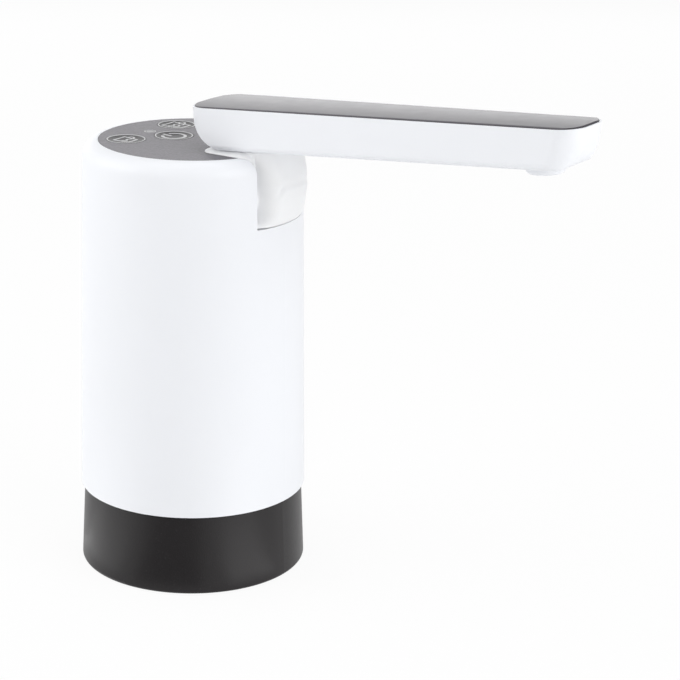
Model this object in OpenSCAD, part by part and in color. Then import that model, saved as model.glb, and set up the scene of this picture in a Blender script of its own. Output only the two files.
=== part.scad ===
// Electric water jug pump with a fold-down spout arm.
// Millimetres, +Z up. The origin is the centre of the jug-neck socket at the foot of the collar,
// and +X runs along the arm.

/* [Body shell] */
// Outer diameter of the shell at its lower edge
body_d = 76; // [74:0.5:84]
// Outer diameter of the shell at its top, where the rounding starts
body_top_d = 72.4; // [71:0.2:78]
// Height of the control panel's face above the foot
body_h = 145.5; // [138:0.5:165]
// Wall of the shell
shell_wall = 2.2; // [1.6:0.1:2.6]
// Rounding of the shell's top edge
edge_r = 5.2; // [4:0.2:6]
// Thickness of the deck that carries the panel
deck_t = 2; // [1.6:0.1:2.6]

/* [Base collar] */
// Step in from the shell's lower edge to the collar
collar_step = 1.1; // [0.6:0.1:1.2]
// Flare of the collar from its top to its foot
collar_flare = 1.2; // [0:0.1:3]
// Rounding of the collar's foot
collar_foot_r = 1.2; // [0.6:0.1:2]
// Height of the collar's rim above the inner floor
collar_lip = 2.3; // [1.5:0.1:5]
// Bore for the neck of the jug
neck_bore_d = 56; // [52:0.5:57]
// Depth of that bore, up to the seal
neck_depth = 19.5; // [14:0.5:24]
// Depth of the bore's wider mouth
mouth_depth = 12; // [8:0.5:13]
// Step out of the bore at that mouth
mouth_step = 0.7; // [0.5:0.1:1]
// Thickness of the neck seal
seal_t = 3; // [2:0.5:4]
// Opening inside the neck seal
seal_d = 49; // [40:0.5:50]

/* [Inner floor] */
// Thickness of the floor between the socket and the dry side
floor_t = 2.5; // [2:0.1:4]
// Shank of the screws up through the collar
collar_screw_d = 2.4; // [2:0.1:2.8]

/* [Control panel] */
// Thickness of the panel
panel_t = 1.5; // [1:0.1:2]
// Diameter of each button
button_d = 12.8; // [10:0.2:13]
// Travel of each button
button_travel = 0.5; // [0.3:0.05:0.7]
// Depth of the finger dish in a button
button_dish = 0.35; // [0.1:0.05:0.6]
// Power button, along the arm's line
power_x = -7.9; // [-9:0.1:-6]
// Cup buttons, along the arm's line
cup_x = -17.1; // [-18:0.1:-16]
// Cup buttons, to each side of that line
cup_y = 13.7; // [12.5:0.1:14]
// Indicator, behind the power button's centre
indicator_back = 9.9; // [9.8:0.1:12]
// Diameter of the indicator lens
indicator_d = 2.4; // [1.6:0.1:3]

/* [Hinge] */
// Pin axis, in from the shell's top radius
hinge_inset = 8.7; // [8:0.1:10]
// Pin axis, below the panel's face
hinge_drop = 13.5; // [13:0.1:14.5]
// Diameter of the hinge pin
pin_d = 3.5; // [2.5:0.1:4]
// Diameter of the arm's knuckle round the pin
knuckle_d = 16; // [13:0.5:17]
// Width of that knuckle
knuckle_w = 17.2; // [14:0.2:18]
// Width of the hinge pocket in the shell
pocket_w = 24.5; // [24:0.1:26]
// Depth of the pocket below the panel's face
pocket_depth = 23; // [22.5:0.1:26]
// Upward tilt of the arm when it is open
open_tilt = 4.4; // [2:0.1:6]
// Bulge of the soft boot beyond the shell
boot_bulge = 1.9; // [0.5:0.1:2.5]
// Height of the boot's two folds
boot_fold = 0.75; // [0:0.05:1]
// Skin of the boot
boot_t = 1.4; // [1:0.1:1.8]

/* [Arm] */
// Top of the arm above the panel's face, on the body's axis
arm_rise = 13.24; // [13:0.02:15]
// Start of the arm, from the body's axis
arm_start = 6.3; // [4:0.1:7]
// Length of the arm
arm_length = 138.5; // [110:0.5:150]
// Width of the arm at the hinge end
arm_root_w = 28.2; // [26:0.2:32]
// Width of the arm at the tip
arm_tip_w = 23; // [20:0.2:28]
// Corner radius of the arm, seen from above
arm_corner = 8; // [6:0.2:9]
// Depth of the arm at the hinge end
arm_root_h = 13.7; // [13:0.1:13.9]
// Depth of the arm at the tip
arm_tip_h = 12.6; // [12:0.1:14]
// Wall of the arm's tray
arm_wall = 1.8; // [1.4:0.1:2.2]
// Rounding along the tray's lower edges
arm_edge_r = 2; // [1:0.1:3]
// White rim left showing round the cover
rim_w = 0.6; // [0.4:0.1:1.2]
// Thickness of the arm's cover at its edge
cover_t = 1.6; // [1.2:0.1:2]
// Rise of the cover along its middle
cover_crown = 0.5; // [0.1:0.05:0.6]
// Width of the edge that rolls down along each side of the cover
cover_roll = 1.6; // [0.8:0.1:2]

/* [Water path] */
// Outside of the hoses
hose_d = 6.5; // [6:0.1:6.8]
// Wall of the hoses
hose_wall = 0.6; // [0.5:0.05:0.8]
// Bore of every spigot
spigot_bore = 3.4; // [2.4:0.1:3.8]
// Outside of the spigot that takes the intake hose
intake_d = 7; // [6:0.1:8]
// Length of that spigot below its flange
intake_l = 8.5; // [8:0.5:14]
// Outside of the nozzle
nozzle_d = 12; // [11:0.1:13]
// Nozzle below the arm's underside
nozzle_drop = 2.6; // [1.5:0.1:3.5]
// Nozzle axis, back from the arm's tip
nozzle_inset = 15.9; // [14:0.1:20]

/* [Pump and motor] */
// Teeth on each pump gear
gear_teeth = 10; // [8:2:12]
// Module of the pump gears
gear_module = 0.8; // [0.7:0.02:0.86]
// Width of the pump gears
gear_w = 6; // [4:0.2:8]
// Underside of the pump above the inner floor
pump_lift = 12.5; // [11:0.5:20]
// Outside of the motor
motor_d = 24.4; // [20:0.2:24.8]
// Length of the motor's can
motor_l = 30.8; // [25:0.2:38]
// Diameter of the motor's shaft
shaft_d = 2.3; // [2:0.1:3]

/* [Electronics] */
// Diameter of the battery cell
cell_d = 18.4; // [14:0.1:18.8]
// Length of the battery cell
cell_l = 65; // [48:0.5:70]
// Thickness of the circuit boards
board_t = 1.6; // [1:0.1:2]
// Width of the main board
main_board_w = 40; // [34:0.5:42]
// Height of the main board
main_board_h = 62; // [40:1:70]
// Width of the charging socket
socket_w = 8.94; // [8:0.02:9.4]
// Height of the charging socket
socket_h = 3.26; // [2.8:0.02:3.4]

/* [Fits] */
// Radial clearance of a shaft or pin that turns
run_fit = 0.05; // [0.02:0.01:0.08]
// Radial clearance of a piece that is pushed in and stays
push_fit = 0.03; // [0.02:0.01:0.05]
// Gap left round panels, covers and soft pieces
trim_gap = 0.15; // [0.1:0.01:0.3]

/* [Hidden] */
$fn = 64;
white = [0.95, 0.95, 0.96];
dark = [0.16, 0.16, 0.17];
moulding = [0.85, 0.86, 0.87];
silicone = [0.92, 0.92, 0.91];
steel = [0.72, 0.73, 0.75];
board_green = [0.12, 0.36, 0.22];
eps = 0.01;
far = 300;

// Body heights and radii
shell_r0 = body_d / 2;
shell_r1 = body_top_d / 2;
panel_r = shell_r1 - edge_r;
deck_z = body_h - panel_t;
deck_under = deck_z - deck_t;
floor_z = neck_depth + seal_t;
floor_top = floor_z + floor_t;
collar_h = floor_top + collar_lip;
floor_gap = 0.4;
floor_r = shell_r0 - shell_wall - floor_gap;
collar_r1 = shell_r0 - collar_step;
collar_r0 = collar_r1 + collar_flare;
neck_r = neck_bore_d / 2;
seal_seat = 1.5;
sleeve_wall = 1.5;
hollow_r0 = neck_r + seal_seat + sleeve_wall;
hollow_land = 0.2;
hollow_r1 = floor_r - hollow_land;
foot_t = 2.5;
collar_ribs_n = 12;
collar_rib_t = 1.4;
function shell_r(z) = shell_r0 + (shell_r1 - shell_r0) * (z - collar_h) / (body_h - edge_r - collar_h);

// Screws
collar_screws_n = 3;
screw_in = 3;
screw_ring_r = floor_r - screw_in;
screw_turn = 60;
screw_post_r = 4;
floor_boss_r = 2.8;
screw_room = 0.3;
screw_head_r = collar_screw_d * 1.1;
screw_head_h = 2;
screw_seat_z = 9;
screw_grip = 8;
boss_h = 14;
boss_r = 4;
small_shank_r = 1;
small_head_r = 1.9;
small_head_h = 1.4;
small_grip = 5;

// Hoses and the spigots that they push on to
hose_r = hose_d / 2;
hose_bore_r = hose_r - hose_wall;
tube_sides = 12;
spigot_ease = 0.15;
spigot_r = hose_bore_r * cos(180 / tube_sides) - spigot_ease;
spigot_bore_r = spigot_bore / 2;
spigot_l = 5.5;
hose_slack = 0.2;
flange_t = 1;
flange_lip = 0.6;
flange_r = hose_r + flange_lip;
intake_flange_t = 1.5;
intake_flange_r = 8;
intake_land = 2;
intake_neck_r = spigot_r + intake_land;

// Pump
gear_gap = gear_module * gear_teeth;
gear_tip_r = gear_gap / 2 + 0.82 * gear_module;
gear_root_r = gear_gap / 2 - 1.05 * gear_module;
pressure_angle = 25;
backlash = 0.1;
flank_steps = 5;
tip_gap = 0.12;
side_gap = 0.05;
cavity_r = gear_tip_r + tip_gap;
port_x = 0.73 * gear_tip_r;
port_r = 1.9;
pump_x = port_x;
drive_y = gear_gap / 2;
idler_y = -gear_gap / 2;
pump_wall = 3.6;
pump_half_x = cavity_r + pump_wall;
pump_half_y = gear_gap / 2 + cavity_r + pump_wall;
pump_corner = 2.5;
pump_screw_in = 2.3;
pump_z = floor_top + pump_lift;
pump_cover_t = 3;
pump_gasket_t = 0.5;
housing_z = pump_z + pump_cover_t + pump_gasket_t;
cavity_h = gear_w + 2 * side_gap;
housing_roof = 3.5;
motor_z = housing_z + cavity_h + housing_roof;
cradle_plate_t = 2.5;
cradle_leg_r = 2.2;
cradle_leg_x = pump_half_x + cradle_leg_r;
cradle_leg_y = 4;
idler_pin_r = 1.25;
idler_pin_in = 2.5;
idler_pin_up = 1.9;
outlet_z = housing_z + cavity_h / 2;

// Motor
motor_r = motor_d / 2;
can_t = 1;
shaft_r = shaft_d / 2;
motor_boss_r = 3;
motor_boss_h = 1.5;
shaft_seal_t = 1;
end_cap_t = 3;
end_cap_boss = 2.2;
end_cap_lip = 0.8;
shaft_end = 0.4;
magnet_t = 2.1;
magnet_gap_w = 6;
air_gap = 0.6;
core_lift = 2;
core_ends = 13.9;
core_l = motor_l - core_ends;
core_slot_in = 2.6;
core_slot_w = 1.4;
commutator_wall = 1.4;
commutator_gap = 0.3;
terminal_x = motor_r * 0.6;
terminal_w = 2.2;
terminal_t = 0.5;

// Riser: it stands clear of the motor, and the hinge pocket starts behind it
riser_gap = 0.6;
riser_x = pump_x + sqrt(pow(motor_r + hose_r + riser_gap, 2) - drive_y * drive_y);
riser_turn = 4.5;
outlet_tip_x = riser_x - riser_turn - eps;

// Hinge
hinge_x = shell_r1 - hinge_inset;
hinge_z = body_h - hinge_drop;
pin_r = pin_d / 2;
pocket_z = body_h - pocket_depth;
pocket_land = 1.6;
pocket_x = riser_x - flange_r - pocket_land;
pocket_wall = 1.8;
pocket_corner = 3;
washer_t = 0.8;
pin_boss_wall = 2.4;
pin_boss_r = pin_r + pin_boss_wall;
pin_boss_y = knuckle_w / 2 + washer_t + 2 * run_fit;
pin_boss_out = 2.2;
pin_half = pocket_w / 2 + pocket_wall + pin_boss_out;
gasket_t = 0.9;
gasket_lap = 0.95;
gasket_leg = 4.5;

// Boot: a surface turned about the body's axis, flush with the shell at its ends, with two folds
boot_lift = 0.2;
boot_low = pocket_z + boot_lift;
boot_drop = 3.2;
boot_high = body_h - boot_drop;
boot_crease = 0.61;
boot_steps = 20;
boot_side_gap = 0.65;
boot_half = pocket_w / 2 - boot_side_gap;
boot_pin_gap = 0.5;
boot_back = hinge_x + pin_boss_r + boot_pin_gap;
boot_rim_in = 1;
boot_rim_r = shell_r1 - boot_rim_in;
boot_end_out = 0.4;
boot_end_r = shell_r1 + boot_end_out;
boot_arm_gap = 0.3;

// Arm: its own frame has its top face at z = 0 and tilts about the body's axis at that height
arm_top = body_h + arm_rise;
arm_end = arm_start + arm_length;
pivot_ax = hinge_x * cos(open_tilt) - (arm_rise + hinge_drop) * sin(open_tilt);
pivot_az = -hinge_x * sin(open_tilt) - (arm_rise + hinge_drop) * cos(open_tilt);
arm_slope = atan((arm_root_h - arm_tip_h) / arm_length);
arm_run = arm_length - 2 * arm_corner;
arm_taper = atan((arm_root_w - arm_tip_w) / 2 / arm_run);
crown_r = (arm_root_w * arm_root_w / 4 + cover_crown * cover_crown) / (2 * cover_crown);
rim_drop = 0.1;
root_lean = 0.3;
root_sweep = 11;
tip_lean = 0.075;
tip_sweep = 6.4;
end_steps = 10;
corner_ease = 0.06;
tip_wall_more = 1;
cover_roll_r = 3;
neck_back = 5.5;
neck_front = 5.6;
knuckle_screw_front = 1.5;
knuckle_screw_x = pivot_ax + knuckle_screw_front;
knuckle_screw_y = 6.2;
knuckle_screw_l = 7;
seat_gap = 0.1;

// Water path in the arm
elbow_back = 6.9;
elbow_ax = pivot_ax - elbow_back;
elbow_wall = 0.8;
elbow_r = spigot_r + elbow_wall;
elbow_l = 5;
elbow_drop = spigot_l - 1;
arm_hose_z = -6.9;
channel_gap = 0.65;
channel_half = hose_r + channel_gap;
hub_wall = 1.8;
hub_r = pin_r + hub_wall;
hinge_hose_pull = 11;
nozzle_x = arm_end - nozzle_inset;
nozzle_wall = 1.4;
nozzle_neck_r = nozzle_d / 2 - nozzle_wall;
nozzle_bore_r = nozzle_neck_r - nozzle_wall;
nozzle_edge_r = 1.2;
nozzle_lip = 0.3;
chamber_out = 0.6;
chamber_r = nozzle_neck_r + chamber_out;
chamber_roof = 1.2;
fitting_spigot_x = nozzle_x - chamber_r - spigot_l;

// Electronics
cell_r = cell_d / 2;
cell_turn = 130;
cell_gap = 0.7;
cell_ring = shell_r1 - shell_wall - cell_r - cell_gap;
cell_x = cell_ring * cos(cell_turn);
cell_y = cell_ring * sin(cell_turn);
cell_cap_h = 1;
cell_cap_r = cell_r * 0.4;
cradle_wall = 1.3;
cradle_floor = 2;
cradle_h = 20;
main_board_y = -17.8;
main_board_lift = 5;
main_board_z = floor_top + main_board_lift;
rail_w = 5;
rail_h = 32;
socket_l = 7.35;
socket_recess = 1;
socket_skin = 0.35;
charge_lift = 18;
charge_z = floor_top + charge_lift;
mouth_x = socket_recess - shell_r(charge_z);
charge_back = 2.75;
charge_x = mouth_x + charge_back;
charge_l = 14;
charge_w = 13;
charge_post_in = 3;
charge_post_side = 2.5;
charge_post_y = charge_w / 2 - charge_post_side;
post_r = 2.2;
button_board_gap = 4;
button_board_z = deck_under - button_board_gap;
button_board_in = 2;
button_board_r = panel_r - button_board_in;
board_post_in = 3;
board_post_ring = button_board_r - board_post_in;
board_post_turns = [80, 180, 280];
switch_w = 6;
switch_h = 3.4;
switch_z = button_board_z + switch_h;
stem_r = 1.7;
stem_in = 1.5;
button_r = button_d / 2;
button_gap = 0.2;
button_flange = 1;
button_lip = 1;
indicator_x = power_x - indicator_back;
indicator_lip = 0.8;
led_l = 2;
led_w = 1.4;
led_h = 0.8;
button_sites = [[power_x, 0], [cup_x, -cup_y], [cup_x, cup_y]];

// Shared shapes

module ring(outer, inner, h) {
    difference() {
        cylinder(r = outer, h = h);
        translate([0, 0, -1]) cylinder(r = inner, h = h + 2);
    }
}

module along_x(x0, x1, r) {
    translate([x0, 0, 0]) rotate([0, 90, 0]) cylinder(r = r, h = x1 - x0);
}

module across_y(half, r) {
    rotate([90, 0, 0]) cylinder(r = r, h = 2 * half, center = true);
}

module rounded_plan(half_x, half_y, r) {
    square([2 * half_x, 2 * (half_y - r)], center = true);
    square([2 * (half_x - r), 2 * half_y], center = true);
    for (sx = [-1, 1], sy = [-1, 1])
        translate([sx * (half_x - r), sy * (half_y - r)]) circle(r);
}

module small_screw(l) {
    cylinder(r = small_shank_r, h = l);
    translate([0, 0, -small_head_h]) cylinder(r = small_head_r, h = small_head_h);
}

module at_collar_screws() {
    for (i = [0 : collar_screws_n - 1])
        rotate(screw_turn + i * 360 / collar_screws_n) translate([screw_ring_r, 0, 0]) children();
}

module at_pump_screws() {
    x = pump_half_x - pump_screw_in;
    y = pump_half_y - pump_screw_in;
    for (sx = [-1, 1], sy = [-1, 1]) translate([pump_x + sx * x, sy * y, 0]) children();
}

module at_board_posts() {
    for (a = board_post_turns) rotate(a) translate([board_post_ring, 0, 0]) children();
}

module in_arm_frame() {
    translate([0, 0, arm_top]) rotate([0, -open_tilt, 0]) children();
}

// A tube swept along points [x, z] in the plane y = 0
function path_dir(p, i) =
    let (d = p[min(i + 1, len(p) - 1)] - p[max(i - 1, 0)]) d / norm(d);
function tube_point(p, i, r, a) =
    let (d = path_dir(p, i)) [p[i][0] + r * cos(a) * d[1], r * sin(a), p[i][1] - r * cos(a) * d[0]];
function tube_ring(p, i, r) =
    [for (k = [0 : tube_sides - 1]) tube_point(p, i, r, k * 360 / tube_sides)];

module swept_tube(p, r, bore_r) {
    n = len(p);
    s = tube_sides;
    inner = n * s;
    points = concat(
        [for (i = [0 : n - 1]) each tube_ring(p, i, r)],
        [for (i = [0 : n - 1]) each tube_ring(p, i, bore_r)]);
    walls = [for (i = [0 : n - 2], k = [0 : s - 1])
        let (a = i * s + k, b = i * s + (k + 1) % s)
        each [[a, b, b + s], [a, b + s, a + s],
            [inner + a, inner + b + s, inner + b], [inner + a, inner + a + s, inner + b + s]]];
    ends = [for (k = [0 : s - 1])
        let (a = k, b = (k + 1) % s, last = (n - 1) * s)
        each [[a, inner + a, inner + b], [a, inner + b, b],
            [last + a, inner + last + b, inner + last + a], [last + a, last + b, inner + last + b]]];
    polyhedron(points = points, faces = concat(walls, ends), convexity = 6);
}

function bezier(a, b, c, d, t) =
    pow(1 - t, 3) * a + 3 * pow(1 - t, 2) * t * b + 3 * (1 - t) * t * t * c + pow(t, 3) * d;

// Body shell, its deck, the hinge pocket and the inner bosses

module shell_profile(r0, r1, z0, z1, e) {
    polygon([[0, z0], [r0, z0], [r1, z1 - e], [0, z1 - e]]);
    square([r1 - e, z1]);
    translate([r1 - e, z1 - e]) circle(e);
}

module shell_solid() {
    intersection() {
        rotate_extrude() shell_profile(shell_r0, shell_r1, collar_h, body_h, edge_r);
        translate([0, 0, collar_h]) cylinder(r = far, h = far);
    }
}

module shell_cavity() {
    w = shell_wall;
    rotate_extrude()
        shell_profile(shell_r0 - w, shell_r1 - w, collar_h - 1, deck_under, edge_r - w);
}

module pocket_plan(grow) {
    x = pocket_x - grow;
    half = pocket_w / 2 + grow;
    r = max(pocket_corner + grow, 0.5);
    translate([x + r, -half]) square([far, 2 * half]);
    translate([x, -half + r]) square([far, 2 * (half - r)]);
    for (s = [-1, 1]) translate([x + r, s * (half - r)]) circle(r);
}

module pin_bosses(r, y0, y1) {
    for (s = [-1, 1])
        translate([hinge_x, s * (y0 + y1) / 2, hinge_z]) across_y((y1 - y0) / 2, r);
}

module charging_slot(w, h, l) {
    r = h / 2;
    cube([l, w - h, h], center = true);
    for (s = [-1, 1])
        translate([0, s * (w / 2 - r), 0]) rotate([0, 90, 0]) cylinder(r = r, h = l, center = true);
}

module body_shell() {
    color(white) difference() {
        union() {
            difference() {
                union() {
                    difference() {
                        shell_solid();
                        shell_cavity();
                    }
                    intersection() {
                        shell_solid();
                        translate([0, 0, pocket_z - pocket_wall])
                            linear_extrude(pocket_depth + pocket_wall - panel_t) pocket_plan(pocket_wall);
                    }
                }
                translate([0, 0, pocket_z]) linear_extrude(far) pocket_plan(0);
            }
            intersection() {
                shell_solid();
                pin_bosses(pin_boss_r, pin_boss_y, pin_half);
            }
            intersection() {
                shell_solid();
                translate([0, 0, collar_h]) at_collar_screws() cylinder(r = boss_r, h = boss_h);
            }
            translate([0, 0, button_board_z]) at_board_posts()
                cylinder(r = post_r, h = button_board_gap + eps);
        }
        translate([0, 0, deck_z]) cylinder(r = panel_r + trim_gap, h = far);
        for (p = button_sites)
            translate([p[0], p[1], deck_under - 1])
                cylinder(r = button_r + button_lip + screw_room, h = far);
        translate([indicator_x, 0, deck_under - 1]) cylinder(r = indicator_d / 2 + push_fit, h = far);
        translate([hinge_x, 0, hinge_z]) across_y(pin_half + eps, pin_r + push_fit);
        translate([riser_x, 0, pocket_z - pocket_wall - 1]) cylinder(r = spigot_r + push_fit, h = far);
        translate([0, 0, collar_h - 1]) at_collar_screws()
            cylinder(r = collar_screw_d / 2 + push_fit, h = boss_h);
        translate([0, 0, button_board_z - 1]) at_board_posts()
            cylinder(r = small_shank_r + push_fit, h = button_board_gap);
        translate([-shell_r0, 0, charge_z + board_t + socket_h / 2])
            charging_slot(socket_w + 4 * trim_gap, socket_h + 4 * trim_gap, 3 * shell_wall);
    }
}

// Base collar, seal and inner floor

module collar_outline() {
    e = collar_foot_r;
    lean = atan(collar_flare / collar_h);
    centre = [collar_r0 - e * (1 + sin(lean)) / cos(lean), e];
    difference() {
        polygon([[0, 0], [collar_r0, 0], [collar_r1, collar_h], [0, collar_h]]);
        translate(centre) difference() {
            polygon([[0, 0], [0, -2 * e], [2 * e, -2 * e], 2 * e * [cos(lean), sin(lean)]]);
            circle(e);
        }
    }
}

module base_collar() {
    color(dark) difference() {
        union() {
            difference() {
                rotate_extrude() collar_outline();
                translate([0, 0, foot_t]) ring(hollow_r1, hollow_r0, far);
            }
            intersection() {
                translate([0, 0, foot_t - eps]) ring(hollow_r1 + 0.5, hollow_r0 - 0.5, collar_h - foot_t);
                union() {
                    at_collar_screws() cylinder(r = screw_post_r, h = collar_h);
                    for (i = [0 : collar_ribs_n - 1])
                        rotate((i + 0.5) * 360 / collar_ribs_n)
                            translate([neck_r, -collar_rib_t / 2, 0])
                                cube([shell_r0 - neck_r, collar_rib_t, collar_h]);
                }
            }
        }
        translate([0, 0, -1]) cylinder(r = neck_r, h = far);
        translate([0, 0, -1]) cylinder(r = neck_r + mouth_step, h = mouth_depth + 1);
        translate([0, 0, neck_depth]) cylinder(r = neck_r + seal_seat, h = far);
        translate([0, 0, floor_z]) cylinder(r = floor_r + trim_gap, h = far);
        translate([0, 0, -1]) at_collar_screws() {
            cylinder(r = collar_screw_d / 2 + screw_room, h = far);
            cylinder(r = screw_head_r + screw_room, h = screw_seat_z + 1);
        }
    }
}

module neck_seal() {
    color(silicone) translate([0, 0, neck_depth])
        ring(neck_r + seal_seat - trim_gap, seal_d / 2, seal_t);
}

module inner_floor() {
    color([0.82, 0.83, 0.84]) difference() {
        union() {
            translate([0, 0, floor_z]) cylinder(r = floor_r, h = floor_t);
            translate([0, 0, floor_top - eps]) at_collar_screws()
                cylinder(r = floor_boss_r, h = collar_lip + eps);
            for (s = [-1, 1]) {
                translate([s * main_board_w / 2, main_board_y, floor_top + rail_h / 2 - eps])
                    cube([rail_w, rail_w, rail_h], center = true);
                translate([charge_x + charge_l - charge_post_in, s * charge_post_y, floor_top - eps])
                    cylinder(r = post_r, h = charge_z - floor_top + eps);
            }
        }
        translate([0, 0, floor_z - 1]) cylinder(r = intake_neck_r + push_fit, h = far);
        translate([0, 0, floor_z - 1]) at_collar_screws()
            cylinder(r = collar_screw_d / 2 + screw_room, h = far);
        translate([0, main_board_y, main_board_z + far / 2])
            cube([main_board_w + 2 * trim_gap, board_t + trim_gap, far], center = true);
    }
}

module intake_spigot() {
    color(white) difference() {
        union() {
            translate([0, 0, floor_z - intake_flange_t - intake_l])
                cylinder(r = intake_d / 2, h = intake_l + eps);
            translate([0, 0, floor_z - intake_flange_t])
                cylinder(r = intake_flange_r, h = intake_flange_t);
            translate([0, 0, floor_z - eps]) cylinder(r = intake_neck_r, h = floor_t + eps);
            translate([0, 0, floor_top - eps]) cylinder(r = spigot_r, h = spigot_l);
        }
        translate([0, 0, -1]) cylinder(r = spigot_bore_r, h = far);
    }
}

module collar_screws() {
    color(steel) at_collar_screws() {
        translate([0, 0, screw_seat_z - screw_head_h]) cylinder(r = screw_head_r, h = screw_head_h);
        translate([0, 0, screw_seat_z - eps])
            cylinder(r = collar_screw_d / 2, h = collar_h + screw_grip - screw_seat_z);
    }
}

// Control panel, buttons and indicator

module control_panel() {
    color([0.42, 0.42, 0.44]) difference() {
        translate([0, 0, deck_z]) cylinder(r = panel_r, h = panel_t);
        translate([0, 0, deck_z - 1]) linear_extrude(far) pocket_plan(trim_gap);
        for (p = button_sites)
            translate([p[0], p[1], deck_z - 1]) cylinder(r = button_r + button_gap, h = far);
        translate([indicator_x, 0, deck_z - 1]) cylinder(r = indicator_d / 2 + push_fit, h = far);
    }
}

module push_button(site) {
    flange_z = deck_z - trim_gap - button_flange;
    stem_z = switch_z - stem_in;
    dish_r = (button_r * button_r + button_dish * button_dish) / (2 * button_dish);
    color([0.36, 0.36, 0.38]) translate([site[0], site[1], 0]) difference() {
        union() {
            translate([0, 0, flange_z + button_flange - eps])
                cylinder(r = button_r, h = body_h - flange_z - button_flange + eps);
            translate([0, 0, flange_z]) cylinder(r = button_r + button_lip, h = button_flange);
            translate([0, 0, stem_z]) cylinder(r = stem_r, h = flange_z - stem_z + eps);
        }
        translate([0, 0, body_h + dish_r - button_dish]) sphere(r = dish_r, $fn = 128);
    }
}

module power_button() push_button(button_sites[0]);
module small_cup_button() push_button(button_sites[1]);
module large_cup_button() push_button(button_sites[2]);

module indicator_lens() {
    color([0.85, 0.9, 0.95]) translate([indicator_x, 0, 0]) {
        translate([0, 0, deck_under - 1]) cylinder(r = indicator_d / 2 + indicator_lip, h = 1);
        translate([0, 0, button_board_z + led_h + hose_slack])
            cylinder(r = indicator_d / 2, h = body_h - button_board_z - led_h - hose_slack);
    }
}

module button_board() {
    color(board_green) difference() {
        intersection() {
            translate([0, 0, button_board_z - board_t]) cylinder(r = button_board_r, h = board_t);
            translate([pocket_x - 2 * pocket_wall - far, -far / 2, 0]) cube(far);
        }
        at_board_posts() cylinder(r = small_shank_r + push_fit, h = far);
    }
}

module tact_switches() {
    well = stem_in + button_travel + seat_gap;
    color([0.1, 0.1, 0.1]) for (p = button_sites)
        translate([p[0], p[1], button_board_z]) difference() {
            translate([-switch_w / 2, -switch_w / 2, 0]) cube([switch_w, switch_w, switch_h]);
            translate([0, 0, switch_h - well]) cylinder(r = stem_r + seat_gap, h = far);
        }
}

module status_led() {
    color([0.95, 0.93, 0.8]) translate([indicator_x - led_l / 2, -led_w / 2, button_board_z])
        cube([led_l, led_w, led_h]);
}

module board_screws() {
    color(steel) translate([0, 0, button_board_z - board_t]) at_board_posts()
        small_screw(board_t + button_board_gap / 2);
}

// Electronics on the inner floor

module main_board() {
    color(board_green)
        translate([-main_board_w / 2, main_board_y - board_t / 2, main_board_z])
            cube([main_board_w, board_t, main_board_h]);
}

module board_parts() {
    face = main_board_y - board_t / 2;
    chips = [[-10, 30, 8, 1.6, 8], [4, 28, 6, 1.2, 5], [-9, 16, 12, 4.5, 6], [5, 14, 10, 4.5, 6]];
    color([0.14, 0.14, 0.15]) for (c = chips)
        translate([c[0], face - c[3], main_board_z + c[1]]) cube([c[2], c[3], c[4]]);
}

module charge_board() {
    color(board_green)
        translate([charge_x, -charge_w / 2, charge_z]) cube([charge_l, charge_w, board_t]);
}

module charging_socket() {
    skin = socket_skin;
    color(steel) translate([mouth_x + socket_l / 2, 0, charge_z + board_t + socket_h / 2]) {
        difference() {
            charging_slot(socket_w, socket_h, socket_l);
            translate([-1, 0, 0]) charging_slot(socket_w - 2 * skin, socket_h - 2 * skin, socket_l);
        }
        translate([4 * skin - socket_l / 2, 4 * skin - socket_w / 2, -skin])
            cube([socket_l - 4 * skin - eps, socket_w - 8 * skin, 2 * skin]);
    }
}

module battery_cell() {
    color([0.25, 0.45, 0.7]) translate([cell_x, cell_y, floor_top + cradle_floor]) {
        cylinder(r = cell_r, h = cell_l - cell_cap_h);
        cylinder(r = cell_cap_r, h = cell_l);
    }
}

module battery_cradle() {
    color([0.2, 0.2, 0.21]) translate([cell_x, cell_y, floor_top]) difference() {
        cylinder(r = cell_r + trim_gap + cradle_wall, h = cradle_h);
        translate([0, 0, cradle_floor]) cylinder(r = cell_r + trim_gap, h = far);
    }
}

// Gear pump

function involute(a) = tan(a) * 180 / PI - a;
function tooth_half(r) =
    let (base_r = gear_gap / 2 * cos(pressure_angle),
        pitch_half = 90 / gear_teeth - backlash / 2 / (gear_gap / 2) * 180 / PI)
    pitch_half + involute(pressure_angle) - (r > base_r ? involute(acos(base_r / r)) : 0);
function flank_radii() =
    let (base_r = gear_gap / 2 * cos(pressure_angle), n = flank_steps)
    concat([gear_root_r], [for (i = [0 : n]) base_r + (gear_tip_r - base_r) * i / n]);
function polar(r, a) = [r * cos(a), r * sin(a)];
function gear_points() =
    let (radii = flank_radii(), n = len(radii))
    [for (t = [0 : gear_teeth - 1]) let (c = t * 360 / gear_teeth) each concat(
        [for (i = [0 : n - 1]) polar(radii[i], c - tooth_half(radii[i]))],
        [for (i = [n - 1 : -1 : 0]) polar(radii[i], c + tooth_half(radii[i]))])];

module pump_gear(y, turn, bore_r) {
    translate([pump_x, y, housing_z + side_gap]) difference() {
        linear_extrude(gear_w) rotate(turn) polygon(gear_points());
        translate([0, 0, -1]) cylinder(r = bore_r, h = gear_w + 2);
    }
}

module drive_gear() {
    color([0.93, 0.9, 0.82]) pump_gear(drive_y, -90, shaft_r + push_fit);
}

module idler_gear() {
    color([0.93, 0.9, 0.82]) pump_gear(idler_y, 90 + 180 / gear_teeth, idler_pin_r + run_fit);
}

module pump_plan() {
    translate([pump_x, 0]) rounded_plan(pump_half_x, pump_half_y, pump_corner);
}

module gear_chamber(h) {
    for (y = [drive_y, idler_y]) translate([pump_x, y, 0]) cylinder(r = cavity_r, h = h);
    for (s = [-1, 1]) translate([pump_x + s * port_x, 0, 0]) cylinder(r = port_r, h = h);
}

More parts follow.
